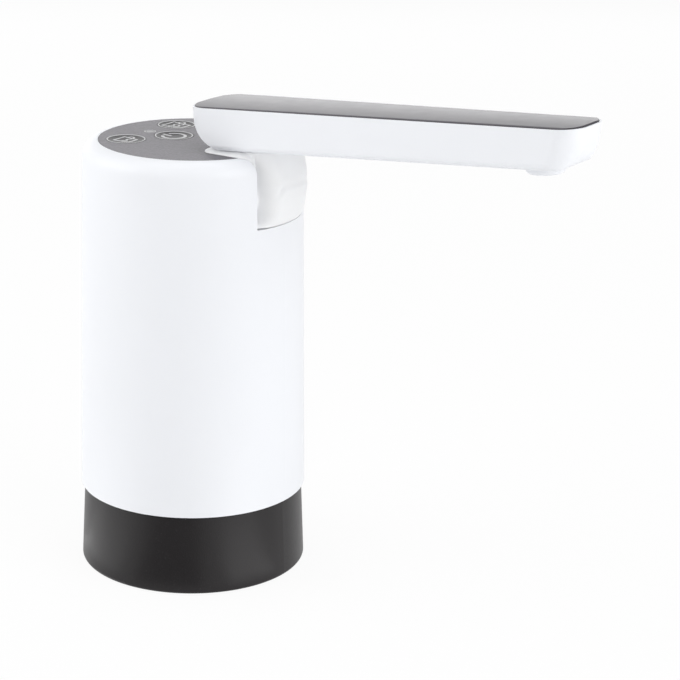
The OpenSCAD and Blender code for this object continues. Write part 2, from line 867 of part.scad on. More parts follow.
module pump_housing() {
    color(moulding) difference() {
        union() {
            translate([0, 0, housing_z]) linear_extrude(motor_z - housing_z) pump_plan();
            translate([0, 0, outlet_z]) along_x(pump_x + pump_half_x - 1, outlet_tip_x, spigot_r);
        }
        translate([0, 0, housing_z - 1]) gear_chamber(cavity_h + 1);
        translate([0, 0, outlet_z]) along_x(pump_x + port_x, outlet_tip_x + 1, spigot_bore_r);
        translate([pump_x, drive_y, housing_z]) cylinder(r = shaft_r + run_fit, h = far);
        translate([pump_x, drive_y, motor_z - motor_boss_h - shaft_seal_t])
            cylinder(r = motor_boss_r + push_fit, h = far);
        translate([pump_x, idler_y, housing_z])
            cylinder(r = idler_pin_r + push_fit, h = cavity_h + idler_pin_up + seat_gap);
        translate([0, 0, housing_z - 1]) at_pump_screws()
            cylinder(r = small_shank_r + push_fit, h = small_grip + 2);
    }
}

module shaft_seal() {
    color([0.1, 0.1, 0.1]) translate([pump_x, drive_y, motor_z - motor_boss_h - shaft_seal_t])
        ring(motor_boss_r, shaft_r + run_fit, shaft_seal_t);
}

module pump_gasket() {
    color([0.15, 0.15, 0.15]) translate([0, 0, pump_z + pump_cover_t]) difference() {
        linear_extrude(pump_gasket_t) pump_plan();
        translate([0, 0, -1]) gear_chamber(far);
        translate([0, 0, -1]) at_pump_screws() cylinder(r = small_shank_r + push_fit, h = far);
    }
}

module pump_cover() {
    color(moulding) difference() {
        union() {
            translate([0, 0, pump_z]) linear_extrude(pump_cover_t) pump_plan();
            translate([0, 0, pump_z - spigot_l]) cylinder(r = spigot_r, h = spigot_l + eps);
        }
        cylinder(r = spigot_bore_r, h = far);
        translate([pump_x, idler_y, housing_z - idler_pin_in])
            cylinder(r = idler_pin_r + push_fit, h = far);
        at_pump_screws() cylinder(r = small_shank_r + push_fit, h = far);
    }
}

module idler_pin() {
    color(steel) translate([pump_x, idler_y, housing_z - idler_pin_in])
        cylinder(r = idler_pin_r, h = idler_pin_in + cavity_h + idler_pin_up);
}

module pump_cradle() {
    plate_z = pump_z - cradle_plate_t;
    color([0.25, 0.25, 0.26]) difference() {
        union() {
            translate([0, 0, plate_z]) linear_extrude(cradle_plate_t) {
                pump_plan();
                translate([pump_x, 0])
                    rounded_plan(cradle_leg_x + cradle_leg_r, cradle_leg_y + cradle_leg_r, cradle_leg_r);
            }
            for (sx = [-1, 1], sy = [-1, 1])
                translate([pump_x + sx * cradle_leg_x, sy * cradle_leg_y, floor_top])
                    cylinder(r = cradle_leg_r, h = plate_z - floor_top + eps);
        }
        translate([0, 0, plate_z - 1]) cylinder(r = flange_r, h = far);
        translate([0, 0, plate_z - 1]) at_pump_screws() cylinder(r = small_shank_r + push_fit, h = far);
    }
}

module pump_screws() {
    color(steel) translate([0, 0, pump_z - cradle_plate_t]) at_pump_screws()
        small_screw(cradle_plate_t + pump_cover_t + pump_gasket_t + small_grip);
}

// Motor

module motor_can() {
    color(steel) translate([pump_x, drive_y, motor_z]) difference() {
        union() {
            cylinder(r = motor_r, h = motor_l);
            translate([0, 0, -motor_boss_h]) cylinder(r = motor_boss_r, h = motor_boss_h + eps);
        }
        translate([0, 0, can_t]) cylinder(r = motor_r - can_t, h = far);
        translate([0, 0, -motor_boss_h - 1]) cylinder(r = shaft_r + run_fit, h = far);
    }
}

module motor_magnets() {
    r = motor_r - can_t - push_fit;
    color([0.3, 0.3, 0.32]) translate([pump_x, drive_y, motor_z + can_t]) difference() {
        ring(r, r - magnet_t, core_l + core_lift);
        translate([-magnet_gap_w / 2, -far / 2, -1]) cube([magnet_gap_w, far, far]);
    }
}

module motor_end_cap() {
    color([0.9, 0.9, 0.88]) translate([pump_x, drive_y, motor_z + motor_l - end_cap_t]) difference() {
        union() {
            cylinder(r = motor_r - can_t - push_fit, h = end_cap_t + end_cap_lip);
            cylinder(r = motor_boss_r, h = end_cap_t + end_cap_boss);
        }
        translate([0, 0, -1]) cylinder(r = shaft_r + run_fit, h = far);
        for (s = [-1, 1]) translate([s * terminal_x, 0, 0])
            cube([terminal_t + seat_gap, terminal_w + seat_gap, far], center = true);
    }
}

module motor_terminals() {
    color([0.8, 0.65, 0.3]) for (s = [-1, 1])
        translate([pump_x + s * terminal_x, drive_y, motor_z + motor_l])
            translate([-terminal_t / 2, -terminal_w / 2, -end_cap_t])
                cube([terminal_t, terminal_w, 2 * end_cap_t + end_cap_boss]);
}

module motor_shaft() {
    z0 = housing_z + side_gap;
    color(steel) translate([pump_x, drive_y, z0])
        cylinder(r = shaft_r, h = motor_z + motor_l + end_cap_boss + shaft_end - z0);
}

module motor_armature() {
    r = motor_r - can_t - push_fit - magnet_t - air_gap;
    core_z = motor_z + can_t + core_lift;
    color([0.6, 0.42, 0.25]) translate([pump_x, drive_y, core_z]) difference() {
        union() {
            cylinder(r = r, h = core_l);
            cylinder(r = shaft_r + commutator_wall,
                h = motor_l - can_t - end_cap_t - core_lift - commutator_gap);
        }
        translate([0, 0, -1]) cylinder(r = shaft_r + push_fit, h = far);
        for (i = [0 : 2]) rotate(i * 120) {
            translate([shaft_r + core_slot_in, -core_slot_w / 2, -1]) cube([far, core_slot_w, core_l + 2]);
            translate([r * 0.62, 0, -1]) cylinder(r = r * 0.2, h = core_l + 2);
        }
    }
}

// Water path up to the arm

module intake_hose() {
    color(silicone) translate([0, 0, floor_top + hose_slack])
        ring(hose_r, hose_bore_r, pump_lift - 2 * hose_slack);
}

module riser_hose() {
    x0 = pump_x + pump_half_x + hose_slack;
    bend = [riser_x - riser_turn, outlet_z + riser_turn];
    top = pocket_z - pocket_wall - hose_slack;
    path = concat(
        [[x0, outlet_z]],
        [for (a = [-90 : 15 : 0]) bend + riser_turn * [cos(a), sin(a)]],
        [for (t = [0.25 : 0.25 : 1]) [riser_x, bend[1] + t * (top - bend[1])]]);
    color(silicone) swept_tube(path, hose_r, hose_bore_r);
}

module pocket_spigot() {
    color(moulding) translate([riser_x, 0, pocket_z]) difference() {
        union() {
            cylinder(r = flange_r, h = flange_t);
            translate([0, 0, -pocket_wall - spigot_l])
                cylinder(r = spigot_r, h = pocket_wall + flange_t + 2 * spigot_l - 1);
        }
        translate([0, 0, -far / 2]) cylinder(r = spigot_bore_r, h = far);
    }
}

function arm_to_body(x, z) =
    [x * cos(open_tilt) - z * sin(open_tilt), arm_top + x * sin(open_tilt) + z * cos(open_tilt)];

module hinge_hose() {
    low = [riser_x, pocket_z + flange_t + hose_slack];
    high = arm_to_body(elbow_ax, -arm_root_h - 2 * hose_slack);
    low_pull = low + [0, hinge_hose_pull];
    high_pull = arm_to_body(elbow_ax, -arm_root_h - 2 * hose_slack - hinge_hose_pull);
    path = [for (t = [0 : 0.125 : 1]) bezier(low, low_pull, high_pull, high, t)];
    color(silicone) swept_tube(path, hose_r, hose_bore_r);
}

// Hinge

module hinge_pin() {
    color(steel) translate([hinge_x, 0, hinge_z]) across_y(pin_half, pin_r);
}

module friction_washers() {
    y0 = knuckle_w / 2 + run_fit;
    color([0.2, 0.2, 0.2]) difference() {
        pin_bosses(pin_boss_r, y0, y0 + washer_t);
        translate([hinge_x, 0, hinge_z]) across_y(far, pin_r + push_fit);
    }
}

module gasket_reach() {
    reach = sqrt(panel_r * panel_r - pow(pocket_w / 2 + gasket_lap, 2));
    translate([0, -far / 2, 0]) cube([reach, far, far]);
}

module hinge_gasket() {
    color(silicone) intersection() {
        gasket_reach();
        difference() {
            union() {
                translate([0, 0, body_h]) linear_extrude(gasket_t) pocket_plan(gasket_lap);
                translate([0, 0, body_h - gasket_leg]) linear_extrude(gasket_leg + eps)
                    pocket_plan(-push_fit);
            }
            translate([0, 0, body_h - gasket_leg - 1]) linear_extrude(far) pocket_plan(-gasket_t);
        }
    }
}

// Boot

function boot_lobe(u) = u < boot_crease ? sin(180 * u / boot_crease)
    : sin(180 * (u - boot_crease) / (1 - boot_crease));
function boot_radius(u) = boot_end_r + boot_bulge * pow(sin(180 * u), 0.7) + boot_fold * boot_lobe(u);
function boot_curve() = [for (i = [0 : boot_steps]) let (u = i / boot_steps)
    [boot_radius(u), boot_low + u * (boot_high - boot_low)]];

module boot_solid(skin) {
    curve = [for (p = boot_curve()) [p[0] - skin, p[1]]];
    rotate_extrude()
        polygon(concat([[0, boot_low]], curve, [[boot_rim_r - skin, arm_top], [0, arm_top]]));
}

module hinge_boot() {
    inner_half = boot_half - boot_t;
    color(silicone) intersection() {
        difference() {
            boot_solid(0);
            intersection() {
                boot_solid(boot_t);
                translate([0, -inner_half, 0]) cube([far, 2 * inner_half, far]);
            }
        }
        translate([boot_back, -boot_half, boot_low]) cube([far, 2 * boot_half, far]);
        in_arm_frame() translate([-far / 2, -far / 2, -far - arm_root_h - boot_arm_gap]) cube(far);
    }
}

// Arm, drawn in its own frame

function arm_depth(x) = arm_root_h + (arm_tip_h - arm_root_h) * (x - arm_start) / arm_length;
function end_curve(x, side, h, lean, sweep) =
    [for (i = [0 : end_steps]) let (a = 90 * i / end_steps)
        [x + side * (lean * h * sin(a) + sweep * (1 - cos(a))), -h * sin(a)]];

module corner_cut(centre, side, r) {
    difference() {
        translate([centre[0] + (side < 0 ? -r - 1 : 0), centre[1]]) square([r + 1, 2 * r]);
        translate(centre) circle(r);
    }
}

module arm_plan(inset, round_tip = true) {
    r = arm_corner - inset;
    root = [arm_start + arm_corner, arm_root_w / 2 - arm_corner];
    tip = [arm_end - arm_corner, arm_tip_w / 2 - arm_corner];
    difference() {
        translate([arm_start + inset, -arm_root_w]) square([arm_length - 2 * inset, 2 * arm_root_w]);
        for (s = [0, 1]) mirror([0, s]) {
            translate(root) rotate(-arm_taper) translate([-far, r]) square(2 * far);
            corner_cut(root, -1, r);
            if (round_tip) corner_cut(tip, 1, r);
        }
    }
}

function tip_curve(wall) = let (end = wall > 0 ? wall + tip_wall_more : 0)
    end_curve(arm_end - end, -1, arm_tip_h - wall, tip_lean, tip_sweep);

module arm_side(wall, top) {
    root = end_curve(arm_start + wall, 1, arm_root_h - wall, root_lean, root_sweep);
    tip = tip_curve(wall);
    back = [for (i = [end_steps : -1 : 0]) tip[i]];
    rotate([90, 0, 0]) linear_extrude(2 * arm_root_w, center = true)
        polygon(concat([[arm_start + wall, top]], root, back, [[tip[0][0], top]]));
}

module rounded_side() {
    e = arm_edge_r;
    x = arm_start + arm_corner + arm_corner * sin(arm_taper);
    y = arm_root_w / 2 - arm_corner + arm_corner * cos(arm_taper);
    translate([x, y, -arm_depth(x)]) rotate([0, 0, -arm_taper]) rotate([0, -arm_slope, 0])
        rotate([90, 0, 90]) linear_extrude(2 * far, center = true) {
            translate([-far, e]) square(far);
            translate([-far - e, 0]) square(far);
            translate([-e, e]) circle(e);
        }
}

// Takes the tip's corners off along its leaning end, one step of the end's curve at a time
module tip_corners() {
    curve = tip_curve(0);
    for (i = [0 : end_steps - 1]) {
        rise = curve[i] - curve[i + 1];
        r = arm_edge_r + (arm_corner - arm_edge_r) * cos(90 * i / end_steps);
        for (s = [0, 1]) mirror([0, s, 0])
            translate([curve[i][0], 0, curve[i][1]]) rotate([0, atan2(rise[0], rise[1]), 0])
                linear_extrude(2 * far, center = true)
                    corner_cut([corner_ease - r, arm_tip_w / 2 + corner_ease - r], 1, r);
    }
}

module arm_solid() {
    difference() {
        intersection() {
            translate([0, 0, -far]) linear_extrude(far - rim_drop) arm_plan(0, false);
            arm_side(0, 1);
            rounded_side();
            mirror([0, 1, 0]) rounded_side();
        }
        tip_corners();
    }
}

module arm_tray() {
    color(white) in_arm_frame() difference() {
        arm_solid();
        intersection() {
            translate([0, 0, -far]) linear_extrude(far + 1) arm_plan(arm_wall);
            arm_side(arm_wall, 2);
        }
        translate([0, 0, -cover_t]) linear_extrude(far) arm_plan(rim_w);
        translate([elbow_ax, 0, -far / 2]) cylinder(r = spigot_r + push_fit, h = far);
        translate([nozzle_x, 0, -far / 2]) cylinder(r = nozzle_neck_r + push_fit, h = far);
        for (s = [-1, 1]) translate([knuckle_screw_x, s * knuckle_screw_y, -far / 2])
            cylinder(r = small_shank_r + push_fit, h = far);
    }
}

function crown_z(y) = cover_crown - crown_r + sqrt(crown_r * crown_r - y * y);

// What the cover keeps beside one long edge, where its face rolls down to the rim
module cover_edge() {
    r = arm_corner - rim_w - trim_gap;
    x = arm_start + arm_corner + r * sin(arm_taper);
    y = arm_root_w / 2 - arm_corner + r * cos(arm_taper);
    root_z = crown_z(y - cover_roll);
    tip_z = crown_z(y - cover_roll - arm_run * tan(arm_taper));
    translate([x, y, root_z]) rotate([0, 0, -arm_taper]) rotate([0, -atan((tip_z - root_z) / arm_run), 0])
        rotate([90, 0, 90]) linear_extrude(2 * far, center = true) {
            translate([-far - cover_roll, -far / 2]) square(far);
            translate([-cover_roll, -cover_roll_r]) circle(cover_roll_r);
        }
}

module arm_cover() {
    color([0.45, 0.45, 0.47]) in_arm_frame() intersection() {
        translate([0, 0, -cover_t]) linear_extrude(cover_t + cover_crown + 1) arm_plan(rim_w + trim_gap);
        translate([0, 0, cover_crown - crown_r]) along_x(arm_start - 1, arm_end + 1, crown_r, $fn = 720);
        cover_edge();
        mirror([0, 1, 0]) cover_edge();
    }
}

module arm_knuckle() {
    r = knuckle_d / 2;
    x0 = pivot_ax - neck_back;
    x1 = pivot_ax + neck_front;
    color(white) in_arm_frame() difference() {
        rotate([90, 0, 0]) linear_extrude(knuckle_w, center = true) {
            translate([pivot_ax, pivot_az]) circle(r);
            polygon([[x0, pivot_az], [x1, pivot_az], [x1, -arm_depth(x1)], [x0, -arm_depth(x0)]]);
        }
        translate([pivot_ax, 0, pivot_az]) across_y(far, pin_r + run_fit);
        difference() {
            union() {
                translate([pivot_ax - hub_r - far, -channel_half, -far])
                    cube([far, 2 * channel_half, far]);
                translate([pivot_ax - far / 2, -channel_half, pivot_az - far])
                    cube([far, 2 * channel_half, far]);
            }
            translate([pivot_ax, 0, pivot_az]) across_y(channel_half + 1, hub_r);
        }
        for (s = [-1, 1]) translate([knuckle_screw_x, s * knuckle_screw_y, -arm_root_h - knuckle_screw_l])
            cylinder(r = small_shank_r + push_fit, h = far);
    }
}

module knuckle_screws() {
    seat = -arm_depth(knuckle_screw_x) + arm_wall + seat_gap / 2;
    color(steel) in_arm_frame() for (s = [-1, 1])
        translate([knuckle_screw_x, s * knuckle_screw_y, seat]) mirror([0, 0, 1])
            small_screw(knuckle_screw_l);
}

module arm_elbow() {
    reach = elbow_ax + elbow_l + spigot_l;
    low = -arm_root_h - elbow_drop;
    color(moulding) in_arm_frame() difference() {
        union() {
            translate([elbow_ax, 0, low]) cylinder(r = spigot_r, h = arm_hose_z - low);
            translate([elbow_ax, 0, arm_hose_z]) sphere(r = elbow_r);
            translate([0, 0, arm_hose_z]) along_x(elbow_ax, elbow_ax + elbow_l, elbow_r);
            translate([0, 0, arm_hose_z]) along_x(elbow_ax, reach, spigot_r);
        }
        translate([elbow_ax, 0, -far + arm_hose_z]) cylinder(r = spigot_bore_r, h = far);
        translate([elbow_ax, 0, arm_hose_z]) sphere(r = spigot_bore_r);
        translate([0, 0, arm_hose_z]) along_x(elbow_ax, reach + 1, spigot_bore_r);
    }
}

module arm_hose() {
    x0 = elbow_ax + elbow_l + hose_slack;
    x1 = nozzle_x - chamber_r - hose_slack;
    color(silicone) in_arm_frame() translate([0, 0, arm_hose_z]) difference() {
        along_x(x0, x1, hose_r);
        along_x(x0 - 1, x1 + 1, hose_bore_r);
    }
}

module spout_fitting() {
    seat = lookup(nozzle_x + chamber_r, tip_curve(arm_wall)) + seat_gap;
    top = arm_hose_z + spigot_r + chamber_roof;
    low = -arm_depth(nozzle_x) - nozzle_drop + nozzle_lip + seat_gap;
    color(moulding) in_arm_frame() difference() {
        union() {
            translate([nozzle_x, 0, low]) cylinder(r = nozzle_neck_r, h = arm_hose_z - low);
            translate([nozzle_x, 0, seat]) cylinder(r = chamber_r, h = top - seat);
            translate([0, 0, arm_hose_z]) along_x(fitting_spigot_x, nozzle_x, spigot_r);
        }
        translate([nozzle_x, 0, -far + top - chamber_roof]) cylinder(r = nozzle_bore_r, h = far);
        translate([0, 0, arm_hose_z]) along_x(fitting_spigot_x - 1, nozzle_x, spigot_bore_r);
    }
}

module spout_nozzle() {
    r = nozzle_d / 2;
    e = nozzle_edge_r;
    top = -arm_depth(nozzle_x - r) - push_fit;
    low = -arm_depth(nozzle_x) - nozzle_drop;
    color(white) in_arm_frame() translate([nozzle_x, 0, 0]) difference() {
        rotate_extrude() {
            translate([0, low]) square([r - e, top - low]);
            translate([0, low + e]) square([r, top - low - e]);
            translate([r - e, low + e]) circle(e);
        }
        translate([0, 0, low - 1]) cylinder(r = nozzle_bore_r, h = far);
        translate([0, 0, low + nozzle_lip]) cylinder(r = nozzle_neck_r + push_fit, h = far);
    }
}

body_shell();
base_collar();
neck_seal();
inner_floor();
intake_spigot();
collar_screws();
control_panel();
power_button();
small_cup_button();
large_cup_button();
indicator_lens();
button_board();
tact_switches();
status_led();
board_screws();
main_board();
board_parts();
charge_board();
charging_socket();
battery_cell();
battery_cradle();
pump_cradle();
pump_cover();
pump_gasket();
pump_housing();
pump_screws();
drive_gear();
idler_gear();
idler_pin();
shaft_seal();
motor_can();
motor_magnets();
motor_end_cap();
motor_terminals();
motor_shaft();
motor_armature();
intake_hose();
riser_hose();
pocket_spigot();
hinge_hose();
hinge_pin();
friction_washers();
hinge_gasket();
hinge_boot();
arm_tray();
arm_cover();
arm_knuckle();
knuckle_screws();
arm_elbow();
arm_hose();
spout_fitting();
spout_nozzle();
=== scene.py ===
import math

import bmesh
import bpy
from mathutils import Matrix, Vector, noise


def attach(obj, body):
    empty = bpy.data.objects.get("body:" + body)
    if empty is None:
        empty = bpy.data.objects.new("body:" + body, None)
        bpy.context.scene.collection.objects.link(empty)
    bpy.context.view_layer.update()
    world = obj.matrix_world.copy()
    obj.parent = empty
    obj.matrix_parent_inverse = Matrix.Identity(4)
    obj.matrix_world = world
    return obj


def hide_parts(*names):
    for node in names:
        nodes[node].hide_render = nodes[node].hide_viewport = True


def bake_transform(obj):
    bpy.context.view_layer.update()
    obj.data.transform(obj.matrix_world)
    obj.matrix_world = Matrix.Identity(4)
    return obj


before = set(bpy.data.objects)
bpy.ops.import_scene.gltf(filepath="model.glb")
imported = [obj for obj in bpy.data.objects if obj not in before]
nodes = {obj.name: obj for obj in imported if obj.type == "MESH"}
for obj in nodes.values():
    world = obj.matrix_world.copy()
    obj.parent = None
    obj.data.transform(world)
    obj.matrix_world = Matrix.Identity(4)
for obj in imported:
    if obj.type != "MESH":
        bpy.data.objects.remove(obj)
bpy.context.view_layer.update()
scene = bpy.context.scene
scene.view_settings.view_transform = "Standard"
mm = 0.001

# camera, level with a person who looks down a little at the jug
cameraView = {
    "place": (0.4273, -0.5765, 0.3083),
    "forward": (-0.5128, 0.8017, -0.3070),
    "roll": 1.185,  # degrees
    "lens": 118.37,
    "sensor": 36,
    "clipStart": 0.01,
}


def makeCamera(v):
    ahead = Vector(v["forward"]).normalized()
    right = ahead.cross(Vector((0, 0, 1))).normalized()
    up = right.cross(ahead)
    roll = math.radians(v["roll"])
    c, s = math.cos(roll), math.sin(roll)
    right, up = right * c + up * s, up * c - right * s
    data = bpy.data.cameras.new("studioCamera")
    data.lens = v["lens"]
    data.sensor_width = v["sensor"]
    data.clip_start = v["clipStart"]
    camera = bpy.data.objects.new("studioCamera", data)
    turn = Matrix((right, up, -ahead)).transposed().to_4x4()
    camera.matrix_world = Matrix.Translation(v["place"]) @ turn
    scene.collection.objects.link(camera)
    scene.camera = camera


makeCamera(cameraView)
print("camera set")

# studio: white backdrop in view and in reflections, softer fill for the light itself
studio = {
    "fill": 0.455,
    "floorColour": (0.9, 0.9, 0.9, 1),
    "floorGlow": 0.93,  # share of the floor's tone that is the plain backdrop
    "floorSize": 8.0,
    "floorDrop": 0.0002,
    "cardHeight": 0.0004,
    "cardSteps": 16,
}
softboxes = {
    "leftBox": {"place": (-0.98, -0.84, 0.55), "aim": (0, 0, 0.08),
                "size": (1.2, 1.3), "radiance": 2.36},
    "rightBox": {"place": (1.36, -0.1, 0.6), "aim": (0.03, 0, 0.08),
                 "size": (1.1, 1.3), "radiance": 2.66},
    "topBox": {"place": (-0.1, 0.1, 1.5), "aim": (0.02, 0, 0.1),
               "size": (1.3, 1.3), "radiance": 0.9},
    "backBox": {"place": (-0.64, 0.96, 0.26), "aim": (0.03, 0, 0.16),
                "size": (1.5, 0.22), "radiance": 1.45},
}

# cards that lie on the floor and show in reflections only, as sectors round the collar: glowing sheets
# that paint reflections on the collar, a dim one in front for its darker middle and brighter ones at
# its sides for its lighter edges
paintedReflectionCards = {
    "dimFrontReflection": {"turn": (-92, -48), "reach": (0.045, 0.45), "glow": 0.4},
    "brightRightReflection": {"turn": (-31, 2), "reach": (0.045, 0.11), "glow": 2.1},
    "brightLeftReflection": {"turn": (-155, -106), "reach": (0.045, 0.11), "glow": 1.6},
}


def addMath(tree, operation, a, b):
    node = tree.nodes.new("ShaderNodeMath")
    node.operation = operation
    for socket, value in zip(node.inputs, (a, b)):
        if isinstance(value, (int, float)):
            socket.default_value = value
        else:
            tree.links.new(value, socket)
    return node.outputs[0]


def seenByEye(tree):  # 1 for what the camera sees, straight or in a reflection
    path = tree.nodes.new("ShaderNodeLightPath")
    seen = addMath(tree, "MAXIMUM", path.outputs["Is Camera Ray"], path.outputs["Is Glossy Ray"])
    return addMath(tree, "MAXIMUM", seen, path.outputs["Is Transmission Ray"])


def makeWorld(v):
    world = bpy.data.worlds.new("studioWorld")
    world.use_nodes = True
    scene.world = world
    tree = world.node_tree
    tree.nodes.clear()
    fill = tree.nodes.new("ShaderNodeBackground")
    fill.inputs["Color"].default_value = (1, 1, 1, 1)
    fill.inputs["Strength"].default_value = v["fill"]
    white = tree.nodes.new("ShaderNodeBackground")
    white.inputs["Color"].default_value = (1, 1, 1, 1)
    white.inputs["Strength"].default_value = 1.0
    mix = tree.nodes.new("ShaderNodeMixShader")
    out = tree.nodes.new("ShaderNodeOutputWorld")
    tree.links.new(seenByEye(tree), mix.inputs[0])
    tree.links.new(fill.outputs[0], mix.inputs[1])
    tree.links.new(white.outputs[0], mix.inputs[2])
    tree.links.new(mix.outputs[0], out.inputs["Surface"])


def makeFloor(v):
    half = v["floorSize"] / 2
    mesh = bpy.data.meshes.new("studioFloor")
    corners = [(-half, -half), (half, -half), (half, half), (-half, half)]
    mesh.from_pydata([(x, y, -v["floorDrop"]) for x, y in corners], [], [(0, 1, 2, 3)])
    floor = bpy.data.objects.new("studioFloor", mesh)
    scene.collection.objects.link(floor)
    material = bpy.data.materials.new("paleFloor")
    material.use_nodes = True
    tree = material.node_tree
    tree.nodes.clear()
    matt = tree.nodes.new("ShaderNodeBsdfDiffuse")
    matt.inputs["Color"].default_value = v["floorColour"]
    glow = tree.nodes.new("ShaderNodeEmission")
    glow.inputs["Color"].default_value = (1, 1, 1, 1)
    glow.inputs["Strength"].default_value = 1.0
    mix = tree.nodes.new("ShaderNodeMixShader")
    out = tree.nodes.new("ShaderNodeOutputMaterial")
    tree.links.new(addMath(tree, "MULTIPLY", seenByEye(tree), v["floorGlow"]), mix.inputs[0])
    tree.links.new(matt.outputs[0], mix.inputs[1])
    tree.links.new(glow.outputs[0], mix.inputs[2])
    tree.links.new(mix.outputs[0], out.inputs["Surface"])
    mesh.materials.append(material)


def makeSoftbox(name, v):
    width, height = v["size"]
    lamp = bpy.data.lights.new(name, "AREA")
    lamp.shape = "RECTANGLE"
    lamp.size, lamp.size_y = width, height
    lamp.energy = v["radiance"] * math.pi * width * height
    box = bpy.data.objects.new(name, lamp)
    place = Vector(v["place"])
    turn = (place - Vector(v["aim"])).to_track_quat("Z", "Y").to_matrix().to_4x4()
    box.matrix_world = Matrix.Translation(place) @ turn
    box.visible_camera = False
    scene.collection.objects.link(box)


def makeReflectionCard(name, v, height, steps):
    start, end = v["turn"]
    turns = [math.radians(start + (end - start) * i / steps) for i in range(steps + 1)]
    points = [(r * math.cos(a), r * math.sin(a), height) for r in v["reach"] for a in turns]
    wide = steps + 1
    mesh = bpy.data.meshes.new(name)
    mesh.from_pydata(points, [], [(i, i + wide, i + wide + 1, i + 1) for i in range(steps)])
    card = bpy.data.objects.new(name, mesh)
    scene.collection.objects.link(card)
    material = bpy.data.materials.new(name)
    material.use_nodes = True
    tree = material.node_tree
    tree.nodes.clear()
    # painted reflection: the card glows but is hidden from the camera, from diffuse light and from
    # shadows, so it shows only in reflections
    glow = tree.nodes.new("ShaderNodeEmission")
    glow.inputs["Strength"].default_value = v["glow"]
    out = tree.nodes.new("ShaderNodeOutputMaterial")
    tree.links.new(glow.outputs[0], out.inputs["Surface"])
    mesh.materials.append(material)
    card.visible_camera = False
    card.visible_diffuse = False
    card.visible_transmission = False
    card.visible_shadow = False


makeWorld(studio)
makeFloor(studio)
for name, values in paintedReflectionCards.items():
    makeReflectionCard(name, values, studio["cardHeight"], studio["cardSteps"])
for name, values in softboxes.items():
    makeSoftbox(name, values)
print("studio:", len(softboxes), "softboxes and", len(paintedReflectionCards), "cards")

# shared shader groups, with the detail of each noise
noiseDetail = {"grain": 2.0, "flow": 1.0, "drift": 3.0, "gloss": 2.0}
glossFiner = 6.0  # how much finer the gloss varies than the colour


def newGroup(name, takes, gives):
    group = bpy.data.node_groups.new(name, "ShaderNodeTree")
    for label, kind, start in takes:
        socket = group.interface.new_socket(name=label, in_out="INPUT", socket_type=kind)
        if start is not None:
            socket.default_value = start
    for label, kind in gives:
        group.interface.new_socket(name=label, in_out="OUTPUT", socket_type=kind)
    return group, group.nodes.new("NodeGroupInput"), group.nodes.new("NodeGroupOutput")


def addNoise(tree, vector, scale, detail):
    node = tree.nodes.new("ShaderNodeTexNoise")
    node.inputs["Detail"].default_value = detail
    tree.links.new(vector, node.inputs["Vector"])
    if isinstance(scale, (int, float)):
        node.inputs["Scale"].default_value = scale
    else:
        tree.links.new(scale, node.inputs["Scale"])
    return node.outputs["Fac"]


def makeMouldGrain():  # fine spark-eroded texture of the tool, as a height
    group, start, end = newGroup(
        "mouldGrain",
        [("Vector", "NodeSocketVector", None), ("Grain Scale", "NodeSocketFloat", 2000.0),
         ("Flow Scale", "NodeSocketFloat", 60.0), ("Flow", "NodeSocketFloat", 0.3)],
        [("Height", "NodeSocketFloat")])
    fine = addNoise(group, start.outputs["Vector"], start.outputs["Grain Scale"], noiseDetail["grain"])
    flow = addNoise(group, start.outputs["Vector"], start.outputs["Flow Scale"], noiseDetail["flow"])
    swell = addMath(group, "MULTIPLY", flow, start.outputs["Flow"])
    group.links.new(addMath(group, "ADD", fine, swell), end.inputs["Height"])
    return group


def makeToneDrift():  # slow drift of colour and gloss over a moulding
    group, start, end = newGroup(
        "toneDrift",
        [("Vector", "NodeSocketVector", None), ("Base", "NodeSocketColor", (0.5, 0.5, 0.5, 1)),
         ("Drift", "NodeSocketFloat", 0.02), ("Drift Scale", "NodeSocketFloat", 40.0),
         ("Gloss", "NodeSocketFloat", 0.4), ("Gloss Swing", "NodeSocketFloat", 0.05)],
        [("Colour", "NodeSocketColor"), ("Roughness", "NodeSocketFloat")])
    slow = addNoise(group, start.outputs["Vector"], start.outputs["Drift Scale"], noiseDetail["drift"])
    signed = addMath(group, "MULTIPLY", addMath(group, "SUBTRACT", slow, 0.5), 2.0)
    tone = addMath(group, "ADD", addMath(group, "MULTIPLY", signed, start.outputs["Drift"]), 1.0)
    grey = group.nodes.new("ShaderNodeCombineColor")
    for socket in grey.inputs:
        group.links.new(tone, socket)
    tint = group.nodes.new("ShaderNodeMix")
    tint.data_type = "RGBA"
    tint.blend_type = "MULTIPLY"
    tint.inputs[0].default_value = 1.0
    group.links.new(start.outputs["Base"], tint.inputs[6])
    group.links.new(grey.outputs[0], tint.inputs[7])
    group.links.new(tint.outputs[2], end.inputs["Colour"])
    fineScale = addMath(group, "MULTIPLY", start.outputs["Drift Scale"], glossFiner)
    fine = addNoise(group, start.outputs["Vector"], fineScale, noiseDetail["gloss"])
    centred = addMath(group, "SUBTRACT", fine, 0.5)
    swing = addMath(group, "MULTIPLY", centred, start.outputs["Gloss Swing"])
    group.links.new(addMath(group, "ADD", swing, start.outputs["Gloss"]), end.inputs["Roughness"])
    return group


mouldGrain = makeMouldGrain()
toneDrift = makeToneDrift()

